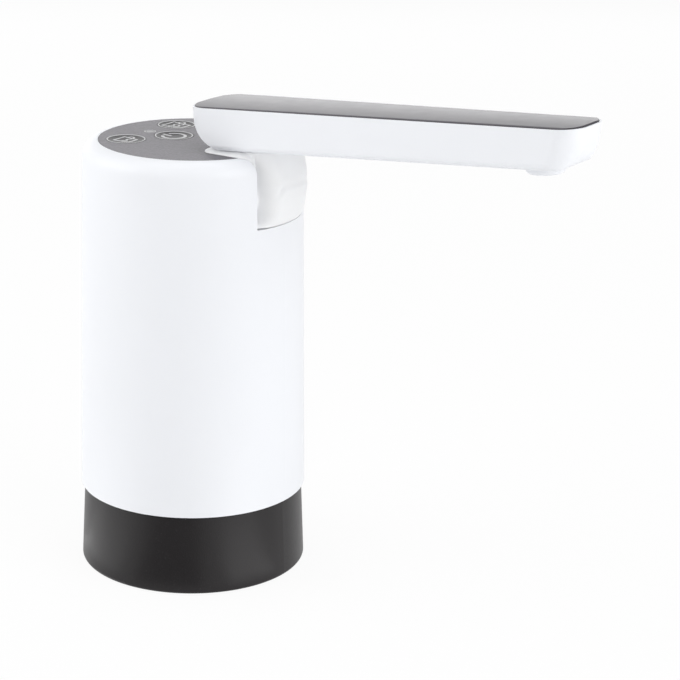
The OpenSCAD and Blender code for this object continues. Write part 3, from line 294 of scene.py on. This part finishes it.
# one finish for each of the record's slots, and one for the printed marks
plainFinish = {"driftScale": 40, "metal": 0, "specular": 0.5, "sheen": 0}
finishes = {
    "white_shell": {"base": (0.838, 0.852, 0.884), "drift": 0.008, "gloss": 0.42, "grain": 2600,
                    "depth": 0.02},
    "dark_collar": {"base": (0.0098, 0.0081, 0.009), "drift": 0.08, "gloss": 0.38, "grain": 2200,
                    "depth": 0.03, "specular": 0.32},
    "dark_panel": {"base": (0.135, 0.129, 0.145), "drift": 0.4, "driftScale": 1200, "gloss": 0.46,
                   "grain": 1300, "depth": 0.1},
    "dark_button": {"base": (0.026, 0.026, 0.028), "drift": 0.1, "driftScale": 750, "gloss": 0.4,
                    "grain": 2600, "depth": 0.06, "specular": 0.3},
    "clear_lens": {"base": (0.34, 0.34, 0.35), "drift": 0.03, "gloss": 0.42, "grain": 900,
                   "depth": 0.02},
    "dark_cover": {"base": (0.035, 0.031, 0.042), "drift": 0.03, "gloss": 0.3, "grain": 2600,
                   "depth": 0.006, "specular": 0.34},
    "white_silicone": {"base": (0.88, 0.886, 0.898), "drift": 0.012, "gloss": 0.6, "grain": 1500,
                       "depth": 0.05, "specular": 0.35, "sheen": 0.1},
    "clear_hose": {"base": (0.78, 0.79, 0.78), "drift": 0.02, "gloss": 0.35, "grain": 700,
                   "depth": 0.04},
    "black_rubber": {"base": (0.02, 0.02, 0.02), "drift": 0.1, "gloss": 0.7, "grain": 1800,
                     "depth": 0.1},
    "grey_moulding": {"base": (0.68, 0.69, 0.7), "drift": 0.02, "gloss": 0.45, "grain": 1800,
                      "depth": 0.05},
    "dark_moulding": {"base": (0.03, 0.03, 0.032), "drift": 0.08, "gloss": 0.5, "grain": 1800,
                      "depth": 0.08},
    "gear_resin": {"base": (0.78, 0.74, 0.62), "drift": 0.03, "gloss": 0.4, "grain": 1500,
                   "depth": 0.04},
    "bright_steel": {"base": (0.62, 0.62, 0.63), "drift": 0.06, "gloss": 0.3, "grain": 1200,
                     "depth": 0.04, "metal": 1},
    "magnet": {"base": (0.08, 0.08, 0.085), "drift": 0.15, "gloss": 0.6, "grain": 1400,
               "depth": 0.1},
    "wound_core": {"base": (0.42, 0.19, 0.08), "drift": 0.12, "gloss": 0.38, "grain": 2600,
                   "depth": 0.12, "metal": 1},
    "terminal_brass": {"base": (0.72, 0.52, 0.22), "drift": 0.08, "gloss": 0.32, "grain": 1500,
                       "depth": 0.04, "metal": 1},
    "circuit_board": {"base": (0.02, 0.11, 0.05), "drift": 0.1, "gloss": 0.35, "grain": 1200,
                      "depth": 0.06},
    "chip_black": {"base": (0.015, 0.015, 0.016), "drift": 0.1, "gloss": 0.55, "grain": 2400,
                   "depth": 0.06},
    "led_body": {"base": (0.85, 0.8, 0.6), "drift": 0.03, "gloss": 0.3, "grain": 1500,
                 "depth": 0.02},
    "cell_wrap": {"base": (0.05, 0.15, 0.36), "drift": 0.05, "gloss": 0.28, "grain": 500,
                  "depth": 0.05},
    "light_print": {"base": (0.58, 0.58, 0.59), "drift": 0.05, "gloss": 0.5, "grain": 2600,
                    "depth": 0.05},
}


def makeFinish(name, values):
    v = {**plainFinish, **values}
    material = bpy.data.materials.new(name + "_finish")
    material.use_nodes = True
    tree = material.node_tree
    shader = tree.nodes["Principled BSDF"]
    place = tree.nodes.new("ShaderNodeTexCoord")
    drift = tree.nodes.new("ShaderNodeGroup")
    drift.node_tree = toneDrift
    drift.inputs["Base"].default_value = (*v["base"], 1)
    drift.inputs["Drift"].default_value = v["drift"]
    drift.inputs["Drift Scale"].default_value = v["driftScale"]
    drift.inputs["Gloss"].default_value = v["gloss"]
    grain = tree.nodes.new("ShaderNodeGroup")
    grain.node_tree = mouldGrain
    grain.inputs["Grain Scale"].default_value = v["grain"]
    bump = tree.nodes.new("ShaderNodeBump")
    bump.inputs["Strength"].default_value = 1.0
    bump.inputs["Distance"].default_value = v["depth"] * mm
    for group in (drift, grain):
        tree.links.new(place.outputs["Object"], group.inputs["Vector"])
    tree.links.new(drift.outputs["Colour"], shader.inputs["Base Color"])
    tree.links.new(drift.outputs["Roughness"], shader.inputs["Roughness"])
    tree.links.new(grain.outputs["Height"], bump.inputs["Height"])
    tree.links.new(bump.outputs["Normal"], shader.inputs["Normal"])
    shader.inputs["Metallic"].default_value = v["metal"]
    shader.inputs["Specular IOR Level"].default_value = v["specular"]
    shader.inputs["Sheen Weight"].default_value = v["sheen"]
    return material


materials = {name: makeFinish(name, values) for name, values in finishes.items()}
for piece in nodes.values():
    for slot in piece.material_slots:
        slot.material = materials[slot.material.name.split(".")[0]]
print("finishes:", len(materials))


# helpers for new pieces
weldDistance = 1e-7


def addPiece(name, mesh, finish):
    piece = bpy.data.objects.new(name, mesh)
    scene.collection.objects.link(piece)
    mesh.materials.append(materials[finish])
    return piece


def keepShape(piece, step):  # the modifier's result becomes the mesh
    done = piece.evaluated_get(bpy.context.evaluated_depsgraph_get())
    mesh = bpy.data.meshes.new_from_object(done)
    piece.modifiers.remove(step)
    piece.data = mesh


def smoothFaces(mesh):
    mesh.polygons.foreach_set("use_smooth", [True] * len(mesh.polygons))


def gridMesh(name, rows, closed=False):
    mesh = bpy.data.meshes.new(name)
    points = [p for row in rows for p in row]
    wide = len(rows[0])
    last = wide if closed else wide - 1
    faces = []
    for i in range(len(rows) - 1):
        for k in range(last):
            a, b = i * wide + k, i * wide + (k + 1) % wide
            faces.append((a, b, b + wide, a + wide))
    mesh.from_pydata([Vector(p) * mm for p in points], [], faces)
    smoothFaces(mesh)
    return mesh


def latheMesh(name, profile, centre=(0, 0), turns=96):  # closed ring from points (radius, height)
    angles = [2 * math.pi * k / turns for k in range(turns)]
    rings = []
    for r, z in profile + profile[:1]:
        rings.append([(centre[0] + r * math.cos(a), centre[1] + r * math.sin(a), z) for a in angles])
    mesh = gridMesh(name, rings, closed=True)
    form = bmesh.new()
    form.from_mesh(mesh)
    bmesh.ops.remove_doubles(form, verts=form.verts, dist=weldDistance)
    bmesh.ops.recalc_face_normals(form, faces=form.faces)
    form.to_mesh(mesh)
    form.free()
    return mesh


def pathMesh(name, lines):  # loose edges that a node tree sweeps a section along
    points, edges = [], []
    for line in lines:
        base = len(points)
        points += [Vector(p) * mm for p in line]
        edges += [(base + i, base + i + 1) for i in range(len(line) - 1)]
    mesh = bpy.data.meshes.new(name)
    mesh.from_pydata(points, edges, [])
    return mesh


def socketId(tree, label):
    for item in tree.interface.items_tree:
        if item.item_type == "SOCKET" and item.in_out == "INPUT" and item.name == label:
            return item.identifier


def shapeByNodes(name, mesh, tree, values):
    piece = bpy.data.objects.new(name, mesh)
    scene.collection.objects.link(piece)
    step = piece.modifiers.new("shape", "NODES")
    step.node_group = tree
    for label, value in values.items():
        step[socketId(tree, label)] = value
    keepShape(piece, step)
    return piece


def newTree(name, takes):
    tree = bpy.data.node_groups.new(name, "GeometryNodeTree")
    tree.interface.new_socket(name="Geometry", in_out="INPUT", socket_type="NodeSocketGeometry")
    for label, kind in takes:
        tree.interface.new_socket(name=label, in_out="INPUT", socket_type=kind)
    tree.interface.new_socket(name="Geometry", in_out="OUTPUT", socket_type="NodeSocketGeometry")
    return tree, tree.nodes.new("NodeGroupInput"), tree.nodes.new("NodeGroupOutput")


def finishTree(tree, start, end, geometry):
    real = tree.nodes.new("GeometryNodeRealizeInstances")
    paint = tree.nodes.new("GeometryNodeSetMaterial")
    tree.links.new(geometry, real.inputs["Geometry"])
    tree.links.new(real.outputs[0], paint.inputs["Geometry"])
    tree.links.new(start.outputs["Material"], paint.inputs["Material"])
    tree.links.new(paint.outputs[0], end.inputs["Geometry"])


def makeBeadTree():  # an oval bead along a path, its width level and its height upright
    tree, start, end = newTree("sweptBead", [
        ("Width", "NodeSocketFloat"), ("Height", "NodeSocketFloat"),
        ("Sides", "NodeSocketInt"), ("Material", "NodeSocketMaterial")])
    line = tree.nodes.new("GeometryNodeMeshToCurve")
    level = tree.nodes.new("GeometryNodeSetCurveNormal")
    level.mode = "Z_UP"
    ring = tree.nodes.new("GeometryNodeCurvePrimitiveCircle")
    ring.inputs["Radius"].default_value = 0.5  # one unit across, before it is scaled
    size = tree.nodes.new("ShaderNodeCombineXYZ")
    size.inputs["Z"].default_value = 1.0
    oval = tree.nodes.new("GeometryNodeTransform")
    sweep = tree.nodes.new("GeometryNodeCurveToMesh")
    sweep.inputs["Fill Caps"].default_value = True
    tree.links.new(start.outputs["Geometry"], line.inputs["Mesh"])
    tree.links.new(line.outputs[0], level.inputs["Curve"])
    tree.links.new(start.outputs["Sides"], ring.inputs["Resolution"])
    tree.links.new(start.outputs["Height"], size.inputs["Y"])
    tree.links.new(start.outputs["Width"], size.inputs["X"])
    tree.links.new(ring.outputs["Curve"], oval.inputs["Geometry"])
    tree.links.new(size.outputs[0], oval.inputs["Scale"])
    tree.links.new(level.outputs[0], sweep.inputs["Curve"])
    tree.links.new(oval.outputs[0], sweep.inputs["Profile Curve"])
    finishTree(tree, start, end, sweep.outputs[0])
    return tree


beadTree = makeBeadTree()


def sweptBead(name, lines, width, height, finish, sides):
    piece = shapeByNodes(name, pathMesh(name, lines), beadTree, {
        "Width": width * mm, "Height": height * mm, "Sides": sides, "Material": materials[finish]})
    smoothFaces(piece.data)
    return piece


# the line of the open arm, which the boot and the lip reach up to
armLine = {
    "top": 158.74, "slope": 0.07695,  # height of the top at the axis, and its rise per mm
    "depth": 13.7, "taper": 0.00794, "start": 6.3, "lean": 0.997,
    "sweep": 0.052, "sweepFrom": 21.4,  # the underside sweeps up at the root
}
hingePin = (27.5, 132.0)  # x and z of the pin

# hinge boot: one soft skin over the slot, with two folds, tucked in behind the slot's edges
boot = {
    "profile": [(122.75, 36.7), (124.6, 38.1), (127.3, 39.2), (131.4, 39.95),
                (134.6, 40.35), (136.4, 39.98), (138.2, 40.2), (140.7, 39.8),
                (143.6, 39.1), (149.0, 37.6)],  # height, radius
    "half": 12.1, "halfTop": 11.3, "narrow": (144.2, 147.0),
    # how each side draws in
    "near": {"flat": 5.5, "edge": 10.6, "drawIn": 7.4, "low": 1.3, "top": 4.8, "power": 2.6},
    "far": {"flat": 8.4, "edge": 12.1, "drawIn": 5.8, "low": 0.6, "top": 4.6, "power": 1.8},
    "drawStart": 0.16, "drawFade": (0.62, 0.38),  # shares of the height
    "flap": 31.75, "flapTop": 27.4, "flapLeast": 0.3, "flapSteps": 6,  # where the tucked sides end
    "skin": 1.0, "pinRoom": 4.6,  # the tucked sides stay in front of the pin's bosses
    "face": 36, "armDepth": 13.55, "armGap": 0.25,
    "ripple": 0.10, "rippleScale": 0.17, "rippleSpan": 1.02, "calmEdge": 6,
    "dimple": (39.2, -6.4, 134.9), "dimpleDepth": 1.0, "dimpleReach": 0.9,
    "dimpleLean": 0.7, "dimpleLong": 2.2,
    "rows": 52, "columns": 56,
}


def ease(t):
    t = max(0.0, min(1.0, t))
    return t * t * (3 - 2 * t)


def alongProfile(points, z):  # smooth curve through (height, value) pairs
    z = max(points[0][0], min(points[-1][0], z))
    k = max(i for i in range(len(points) - 1) if points[i][0] <= z)
    slopes = []
    for i in (k, k + 1):
        a, b = points[max(i - 1, 0)], points[min(i + 1, len(points) - 1)]
        slopes.append((b[1] - a[1]) / (b[0] - a[0]))
    (z0, r0), (z1, r1) = points[k], points[k + 1]
    h = z1 - z0
    t = (z - z0) / h
    return (r0 * (1 + 2 * t) * (1 - t) ** 2 + slopes[0] * h * t * (1 - t) ** 2
            + r1 * t * t * (3 - 2 * t) + slopes[1] * h * t * t * (t - 1))


def bootPoint(v, s, t, back=0.0):  # s up the skin, t across it, back along the tucked side
    top = armLine["top"] + armLine["slope"] * v["face"] - v["armDepth"] - v["armGap"]
    low = v["profile"][0][0]
    z = low + s * (top - low)
    rise = ease((z - v["narrow"][0]) / (v["narrow"][1] - v["narrow"][0]))
    half = v["half"] + (v["halfTop"] - v["half"]) * rise
    y = half * t
    tuck = v["near"] if y < 0 else v["far"]
    side = min(1.0, max(0.0, (abs(y) - tuck["flat"]) / (tuck["edge"] - tuck["flat"])))
    fadeFrom, fadeOver = v["drawFade"]
    draw = tuck["low"] + (tuck["drawIn"] - tuck["low"]) * ease(s / v["drawStart"])
    draw += (tuck["top"] - tuck["drawIn"]) * ease((s - fadeFrom) / fadeOver)
    r = alongProfile(v["profile"], z)
    x = math.sqrt(r * r - y * y) - draw * side ** tuck["power"]
    boss = v["pinRoom"] ** 2 - (z - hingePin[1]) ** 2
    if boss > 0 and abs(y) > tuck["flat"]:
        x = max(x, hingePin[0] + math.sqrt(boss) + v["skin"])
    if back:
        end = v["flap"] + (v["flapTop"] - v["flap"]) * rise
        x -= max(v["flapLeast"], x - end) * back
    z += s * armLine["slope"] * (x - v["face"])
    p = Vector((x, y, z))
    ripple = noise.noise(p * v["rippleScale"]) * v["ripple"]
    swell = ripple * math.sin(math.pi * min(1, s * v["rippleSpan"]))
    dent = p - Vector(v["dimple"])
    across = (dent.y - v["dimpleLean"] * dent.z) / v["dimpleReach"]
    along = (dent.z + v["dimpleLean"] * dent.y) / (v["dimpleLong"] * v["dimpleReach"])
    swell -= v["dimpleDepth"] * math.exp(-across * across - along * along)
    return p + Vector((x, y, 0)).normalized() * swell * (1 - abs(t) ** v["calmEdge"])


def makeBoot(v):
    steps = v["flapSteps"]
    rows = []
    for i in range(v["rows"] + 1):
        s = i / v["rows"]
        near = [bootPoint(v, s, -1, k / steps) for k in range(steps, 0, -1)]
        front = [bootPoint(v, s, 2 * k / v["columns"] - 1) for k in range(v["columns"] + 1)]
        far = [bootPoint(v, s, 1, k / steps) for k in range(1, steps + 1)]
        rows.append(near + front + far)
    piece = addPiece("hingeBootSkin", gridMesh("hingeBootSkin", rows), "white_silicone")
    thick = piece.modifiers.new("skin", "SOLIDIFY")
    thick.thickness = v["skin"] * mm
    thick.offset = -1
    keepShape(piece, thick)
    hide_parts("hinge_boot")
    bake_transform(piece)


makeBoot(boot)
print("hinge boot made")

# gasket lip: a wiper round the mouth of the hinge pocket, up to the arm's underside,
# with a leg in the pocket
lip = {
    "foot": {"half": 14.1, "back": 13.1, "corner": 3.8},
    "edge": {"half": 11.1, "back": 14.8, "corner": 2.2},
    "leg": {"half": 12.05, "back": 13.75, "corner": 2.9},
    "frontX": 27.6, "sideSteps": 14, "cornerSteps": 10, "backSteps": 6,
    "footTail": [(29.4, 13.1), (31.1, 12.45), (32.5, 12.15), (33.4, 12.1)],
    "legTail": [(28.9, 12.05), (30.2, 12.05), (31.2, 12.05), (31.9, 12.05)],
    "edgeTail": [(28.9, 11.0), (30.2, 10.9), (31.2, 10.9), (31.9, 10.9)],
    "deck": 145.52, "shoulder": 5.2, "deckRadius": 31.0,
    "armClear": 0.08, "rise": 2.2, "riseBack": 0.75, "riseFrom": 13.6, "riseOver": 3.6,
    "footRise": 0.4, "legIn": 0.15, "legDrop": 3.4, "legThick": 0.6, "legTop": 0.2,
    "swing": 14.9,  # the folding arm passes outside this radius
    "base": 0.5, "leastClimb": 0.1,
    # the outer face: share of the way in, share of the climb, height above the deck
    "face": [(0, 0, 0.02), (0.01, 0, 0.22), (0.07, 0, 0.42), (0.18, 0.06, 0.5),
             (0.45, 0.42, 0.5), (0.75, 0.82, 0.5)],
    "rim": [(0.94, 0.02), (1, 0.12), (1, 0.3), (0.93, 0.6)],  # share of the way in, depth below the top
}


def lipPath(side, v):
    half, back, r = side["half"], side["back"], side["corner"]
    sideSteps, cornerSteps, backSteps = v["sideSteps"], v["cornerSteps"], v["backSteps"]
    run = v["frontX"] - back - r
    line = [(v["frontX"] - run * i / sideSteps, -half) for i in range(sideSteps + 1)]
    for i in range(1, cornerSteps + 1):
        a = math.pi / 2 * i / cornerSteps
        line.append((back + r - r * math.sin(a), -half + r - r * math.cos(a)))
    line += [(back, -half + r + (half - r) * i / backSteps) for i in range(1, backSteps + 1)]
    return line


def lipLine(side, tail, v):
    line = [(x, -y) for x, y in reversed(tail)] + lipPath(side, v)
    return line + [(x, -y) for x, y in reversed(line[:-1])]


def deckHeight(v, x, y):  # the deck, and the shell's rounded shoulder beyond it
    out = min(max(0.0, math.hypot(x, y) - v["deckRadius"]), v["shoulder"])
    return v["deck"] - v["shoulder"] + math.sqrt(v["shoulder"] ** 2 - out * out)


def armUnder(x):  # the arm's underside, with the sweep up at its root
    v = armLine
    low = v["top"] + v["slope"] * x - (v["depth"] - v["taper"] * (x - v["start"])) / v["lean"]
    return low + v["sweep"] * max(0.0, v["sweepFrom"] - x) ** 2


def lipTop(v, x, foot):
    share = ease((x - v["riseFrom"]) / v["riseOver"])
    high = foot + v["riseBack"] + (v["rise"] - v["riseBack"]) * share
    if x > hingePin[0]:
        high = min(high, hingePin[1] + math.sqrt(v["swing"] ** 2 - (x - hingePin[0]) ** 2))
    return min(high, armUnder(x) - v["armClear"])


def lipSection(v, foot, edge, leg):  # round the lip, from its foot over the edge to its leg
    low = deckHeight(v, *foot)
    top = lipTop(v, edge[0], min(low + v["footRise"], v["deck"]))
    inner = Vector(leg) + (Vector(edge) - Vector(leg)).normalized() * v["legThick"]
    legTop = min(low, deckHeight(v, *leg) - v["legIn"])
    legEnd = legTop - v["legDrop"]
    climb = max(v["leastClimb"], top - low - v["base"])

    def at(share, z):
        return (foot[0] + (edge[0] - foot[0]) * share, foot[1] + (edge[1] - foot[1]) * share, z)

    section = [at(share, low + lift + part * climb) for share, part, lift in v["face"]]
    section += [at(share, top - drop) for share, drop in v["rim"]]
    section += [(*inner, legTop - v["legTop"]), (*inner, legEnd), (*leg, legEnd), (*leg, legTop)]
    return section


def makeLip(v):
    foot = lipLine(v["foot"], v["footTail"], v)
    edge = lipLine(v["edge"], v["edgeTail"], v)
    leg = lipLine(v["leg"], v["legTail"], v)
    rows = [lipSection(v, *three) for three in zip(foot, edge, leg)]
    mesh = gridMesh("hingeGasketLip", rows, closed=True)
    form = bmesh.new()
    form.from_mesh(mesh)
    bmesh.ops.holes_fill(form, edges=[e for e in form.edges if e.is_boundary])
    bmesh.ops.recalc_face_normals(form, faces=form.faces)
    form.to_mesh(mesh)
    form.free()
    piece = addPiece("hingeGasketLip", mesh, "white_silicone")
    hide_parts("hinge_gasket")
    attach(piece, "body")


makeLip(lip)
print("gasket lip made")

# hose across the hinge
hingeHose = {
    "low": (18.94, 0, 123.7), "lowPull": (18.94, 0, 134.7),
    "highPull": (20.34, 0, 135.13), "high": (19.5, 0, 146.1),
    "bow": 2.2,  # it bows back from the hub, so that it clears it when folded
    "width": 6.5, "sides": 24, "steps": 28,
}


def bezierPoint(a, b, c, d, t):
    a, b, c, d = Vector(a), Vector(b), Vector(c), Vector(d)
    return a * (1 - t) ** 3 + b * 3 * t * (1 - t) ** 2 + c * 3 * t * t * (1 - t) + d * t ** 3


def makeHingeHose(v):
    line = []
    for i in range(v["steps"] + 1):
        t = i / v["steps"]
        bow = Vector((v["bow"] * math.sin(math.pi * t) ** 2, 0, 0))
        line.append(bezierPoint(v["low"], v["lowPull"], v["highPull"], v["high"], t) - bow)
    piece = sweptBead("hingeHoseTube", [line], v["width"], v["width"], "clear_hose", v["sides"])
    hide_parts("hinge_hose")
    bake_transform(piece)


makeHingeHose(hingeHose)
print("hinge hose made")

# neck seal with a rounded lip that the jug's rim presses on
neckSeal = {
    "profile": [(24.6, 20.9), (24.6, 21.6), (24.9, 22.2), (25.6, 22.45), (29.2, 22.45),
                (29.3, 22.3), (29.3, 19.8), (29.1, 19.6), (27.9, 19.55), (27.3, 19.9),
                (26.6, 20.25), (25.6, 20.3), (24.9, 20.45)],  # radius, height
}


def makeNeckSeal(v):
    mesh = latheMesh("neckSealRing", v["profile"])
    piece = addPiece("neckSealRing", mesh, "white_silicone")
    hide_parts("neck_seal")
    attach(piece, "body")


makeNeckSeal(neckSeal)
print("neck seal made")

# printed marks: they lie in the dish of each button
marks = {
    "top": 145.5, "dish": 0.35, "buttonRadius": 6.4, "lift": 0.03,
    "ringIn": 5.9, "ringOut": 6.37, "ringSink": 0.05, "ringRise": 0.03, "ringTurns": 72,
    "stroke": 1.15, "thin": 0.75, "rise": 0.07, "sides": 10, "step": 0.3,
    "power": (-7.9, 0.0), "smallCup": (-17.1, -13.7), "largeCup": (-17.1, 13.7),
    "powerArc": 3.75, "powerGap": 28,  # radius, and half the gap in degrees
    "arcSteps": 40, "barFrom": 0.9, "barPast": 0.7,
    "small": {"width": 5.8, "foot": 4.4, "height": 5.8, "handle": 1.4, "waves": (-0.3,)},
    "large": {"width": 6.8, "foot": 5.0, "height": 7.4, "handle": 1.6, "waves": (-0.9, 1.1)},
    "handleIn": 0.25, "handleAt": 0.25, "handleSquash": 0.8, "handleSteps": 10,
    "waveSwing": 0.4, "waveSteps": 8, "waveTurn": 4,
    "light": (-17.8, 0.0), "lightIn": 1.6, "lightOut": 1.95,
    "lightSink": 0.02, "lightRise": 0.04, "lightTurns": 48,
}


def dishHeight(v, r):
    bowl = (v["buttonRadius"] ** 2 + v["dish"] ** 2) / (2 * v["dish"])
    return v["top"] - v["dish"] + bowl - math.sqrt(bowl * bowl - r * r) + v["lift"]


def markLine(v, site, points):  # points are (right, up) as read from the arm's side
    placed = []
    for right, up in points:
        r = math.hypot(right, up)
        placed.append((site[0] - up, site[1] + right, dishHeight(v, r)))
    return placed


def between(points, step):  # the same line with points no further apart than about a step
    line = [points[0]]
    for a, b in zip(points, points[1:]):
        n = max(1, round(math.dist(a, b) / step))
        for i in range(1, n + 1):
            line.append((a[0] + (b[0] - a[0]) * i / n, a[1] + (b[1] - a[1]) * i / n))
    return line


def makeRing(v, name, site, body):
    inside, outside = v["ringIn"], v["ringOut"]
    low, high = dishHeight(v, inside), dishHeight(v, outside)
    profile = [(inside, low - v["ringSink"]), (outside, high - v["ringSink"]),
               (outside, high + v["ringRise"]), (inside, low + v["ringRise"])]
    mesh = latheMesh(name + "Ring", profile, site, v["ringTurns"])
    piece = addPiece(name + "Ring", mesh, "light_print")
    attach(piece, body)


def makeMark(v, name, site, body, lines, stroke):
    placed = [markLine(v, site, between(line, v["step"])) for line in lines]
    piece = sweptBead(name + "Mark", placed, stroke, v["rise"], "light_print", v["sides"])
    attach(piece, body)


def makeLightRing(v):  # thin print round the status light
    low, high = v["top"] - v["lightSink"], v["top"] + v["lightRise"]
    profile = [(v["lightIn"], low), (v["lightOut"], low), (v["lightOut"], high), (v["lightIn"], high)]
    mesh = latheMesh("statusLightRing", profile, v["light"], v["lightTurns"])
    piece = addPiece("statusLightRing", mesh, "light_print")
    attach(piece, "body")


def cupLines(v, cup):  # a cup with its handle and the water's waves
    width, foot, height, handle = cup["width"], cup["foot"], cup["height"], cup["handle"]
    top, low = height / 2, -height / 2
    outline = [(-width / 2, top), (-foot / 2, low), (foot / 2, low),
               (width / 2, top), (-width / 2, top)]
    loop = []
    for i in range(v["handleSteps"] + 1):
        a = math.pi * i / v["handleSteps"]
        loop.append((width / 2 - v["handleIn"] + handle * math.sin(a),
                     v["handleAt"] * height + handle * (math.cos(a) - 1) * v["handleSquash"]))
    lines = [outline, loop]
    steps = v["waveSteps"]
    for level in cup["waves"]:
        half = (foot + (width - foot) * (level - low) / height) / 2
        lines.append([(half * i / steps, level + v["waveSwing"] * math.sin(math.pi * i / v["waveTurn"]))
                      for i in range(-steps, steps + 1)])
    return lines


def makeMarks(v):
    gap = math.radians(v["powerGap"])
    steps = v["arcSteps"]
    turns = [gap + (2 * math.pi - 2 * gap) * i / steps for i in range(steps + 1)]
    arc = [(v["powerArc"] * math.sin(a), v["powerArc"] * math.cos(a)) for a in turns]
    bar = [(0, v["barFrom"]), (0, v["powerArc"] + v["barPast"])]
    signs = [("power", "power_button", [arc, bar], v["stroke"]),
             ("smallCup", "small_cup_button", cupLines(v, v["small"]), v["thin"]),
             ("largeCup", "large_cup_button", cupLines(v, v["large"]), v["thin"])]
    for name, body, lines, stroke in signs:
        makeRing(v, name, v[name], body)
        makeMark(v, name, v[name], body, lines, stroke)
    makeLightRing(v)


makeMarks(marks)
print("marks made")

# collar screws with a cross recess, seen from below in the foot's three holes
collarScrews = {
    "ring": 32.4, "turns": (60, 180, 300), "seat": 9.0,
    "headRadius": 2.6, "headHeight": 1.95, "shankRadius": 1.17, "shankLength": 26.0,
    "recessWidth": 0.8, "recessSpan": 3.2, "recessDepth": 1.1,
    "headSides": 40, "shankSides": 24,
}


def makeScrewTree(v):
    tree, start, end = newTree("crossScrews", [
        ("Head Radius", "NodeSocketFloat"), ("Head Height", "NodeSocketFloat"),
        ("Shank Radius", "NodeSocketFloat"), ("Shank Length", "NodeSocketFloat"),
        ("Recess Width", "NodeSocketFloat"), ("Recess Span", "NodeSocketFloat"),
        ("Recess Depth", "NodeSocketFloat"), ("Material", "NodeSocketMaterial")])

    def cylinder(radius, depth, sides):
        node = tree.nodes.new("GeometryNodeMeshCylinder")
        node.inputs["Vertices"].default_value = sides
        tree.links.new(start.outputs[radius], node.inputs["Radius"])
        tree.links.new(start.outputs[depth], node.inputs["Depth"])
        return node.outputs["Mesh"]

    def raised(geometry, depth, share):
        rise = addMath(tree, "MULTIPLY", start.outputs[depth], share)
        place = tree.nodes.new("ShaderNodeCombineXYZ")
        tree.links.new(rise, place.inputs["Z"])
        move = tree.nodes.new("GeometryNodeTransform")
        tree.links.new(geometry, move.inputs["Geometry"])
        tree.links.new(place.outputs[0], move.inputs["Translation"])
        return move.outputs[0]

    def blade(first, second):
        size = tree.nodes.new("ShaderNodeCombineXYZ")
        tree.links.new(start.outputs[first], size.inputs["X"])
        tree.links.new(start.outputs[second], size.inputs["Y"])
        tree.links.new(addMath(tree, "MULTIPLY", start.outputs["Recess Depth"], 2.0), size.inputs["Z"])
        node = tree.nodes.new("GeometryNodeMeshCube")
        tree.links.new(size.outputs[0], node.inputs["Size"])
        return raised(node.outputs["Mesh"], "Head Height", -1.0)

    head = cylinder("Head Radius", "Head Height", v["headSides"])
    shank = cylinder("Shank Radius", "Shank Length", v["shankSides"])
    cut = tree.nodes.new("GeometryNodeMeshBoolean")
    cut.operation = "DIFFERENCE"
    tree.links.new(raised(head, "Head Height", -0.5), cut.inputs["Mesh 1"])
    tree.links.new(blade("Recess Width", "Recess Span"), cut.inputs["Mesh 2"])
    tree.links.new(blade("Recess Span", "Recess Width"), cut.inputs["Mesh 2"])
    join = tree.nodes.new("GeometryNodeJoinGeometry")
    tree.links.new(cut.outputs["Mesh"], join.inputs[0])
    tree.links.new(raised(shank, "Shank Length", 0.5), join.inputs[0])
    spread = tree.nodes.new("GeometryNodeInstanceOnPoints")
    tree.links.new(start.outputs["Geometry"], spread.inputs["Points"])
    tree.links.new(join.outputs[0], spread.inputs["Instance"])
    finishTree(tree, start, end, spread.outputs[0])
    return tree


def makeCollarScrews(v):
    sites = []
    for turn in v["turns"]:
        a = math.radians(turn)
        sites.append(Vector((v["ring"] * math.cos(a), v["ring"] * math.sin(a), v["seat"])) * mm)
    mesh = bpy.data.meshes.new("collarScrewSet")
    mesh.from_pydata(sites, [], [])
    piece = shapeByNodes("collarScrewSet", mesh, makeScrewTree(v), {
        "Head Radius": v["headRadius"] * mm, "Head Height": v["headHeight"] * mm,
        "Shank Radius": v["shankRadius"] * mm, "Shank Length": v["shankLength"] * mm,
        "Recess Width": v["recessWidth"] * mm, "Recess Span": v["recessSpan"] * mm,
        "Recess Depth": v["recessDepth"] * mm, "Material": materials["bright_steel"]})
    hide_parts("collar_screws")
    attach(piece, "body")


makeCollarScrews(collarScrews)
print("collar screws made")

print("all pieces placed")
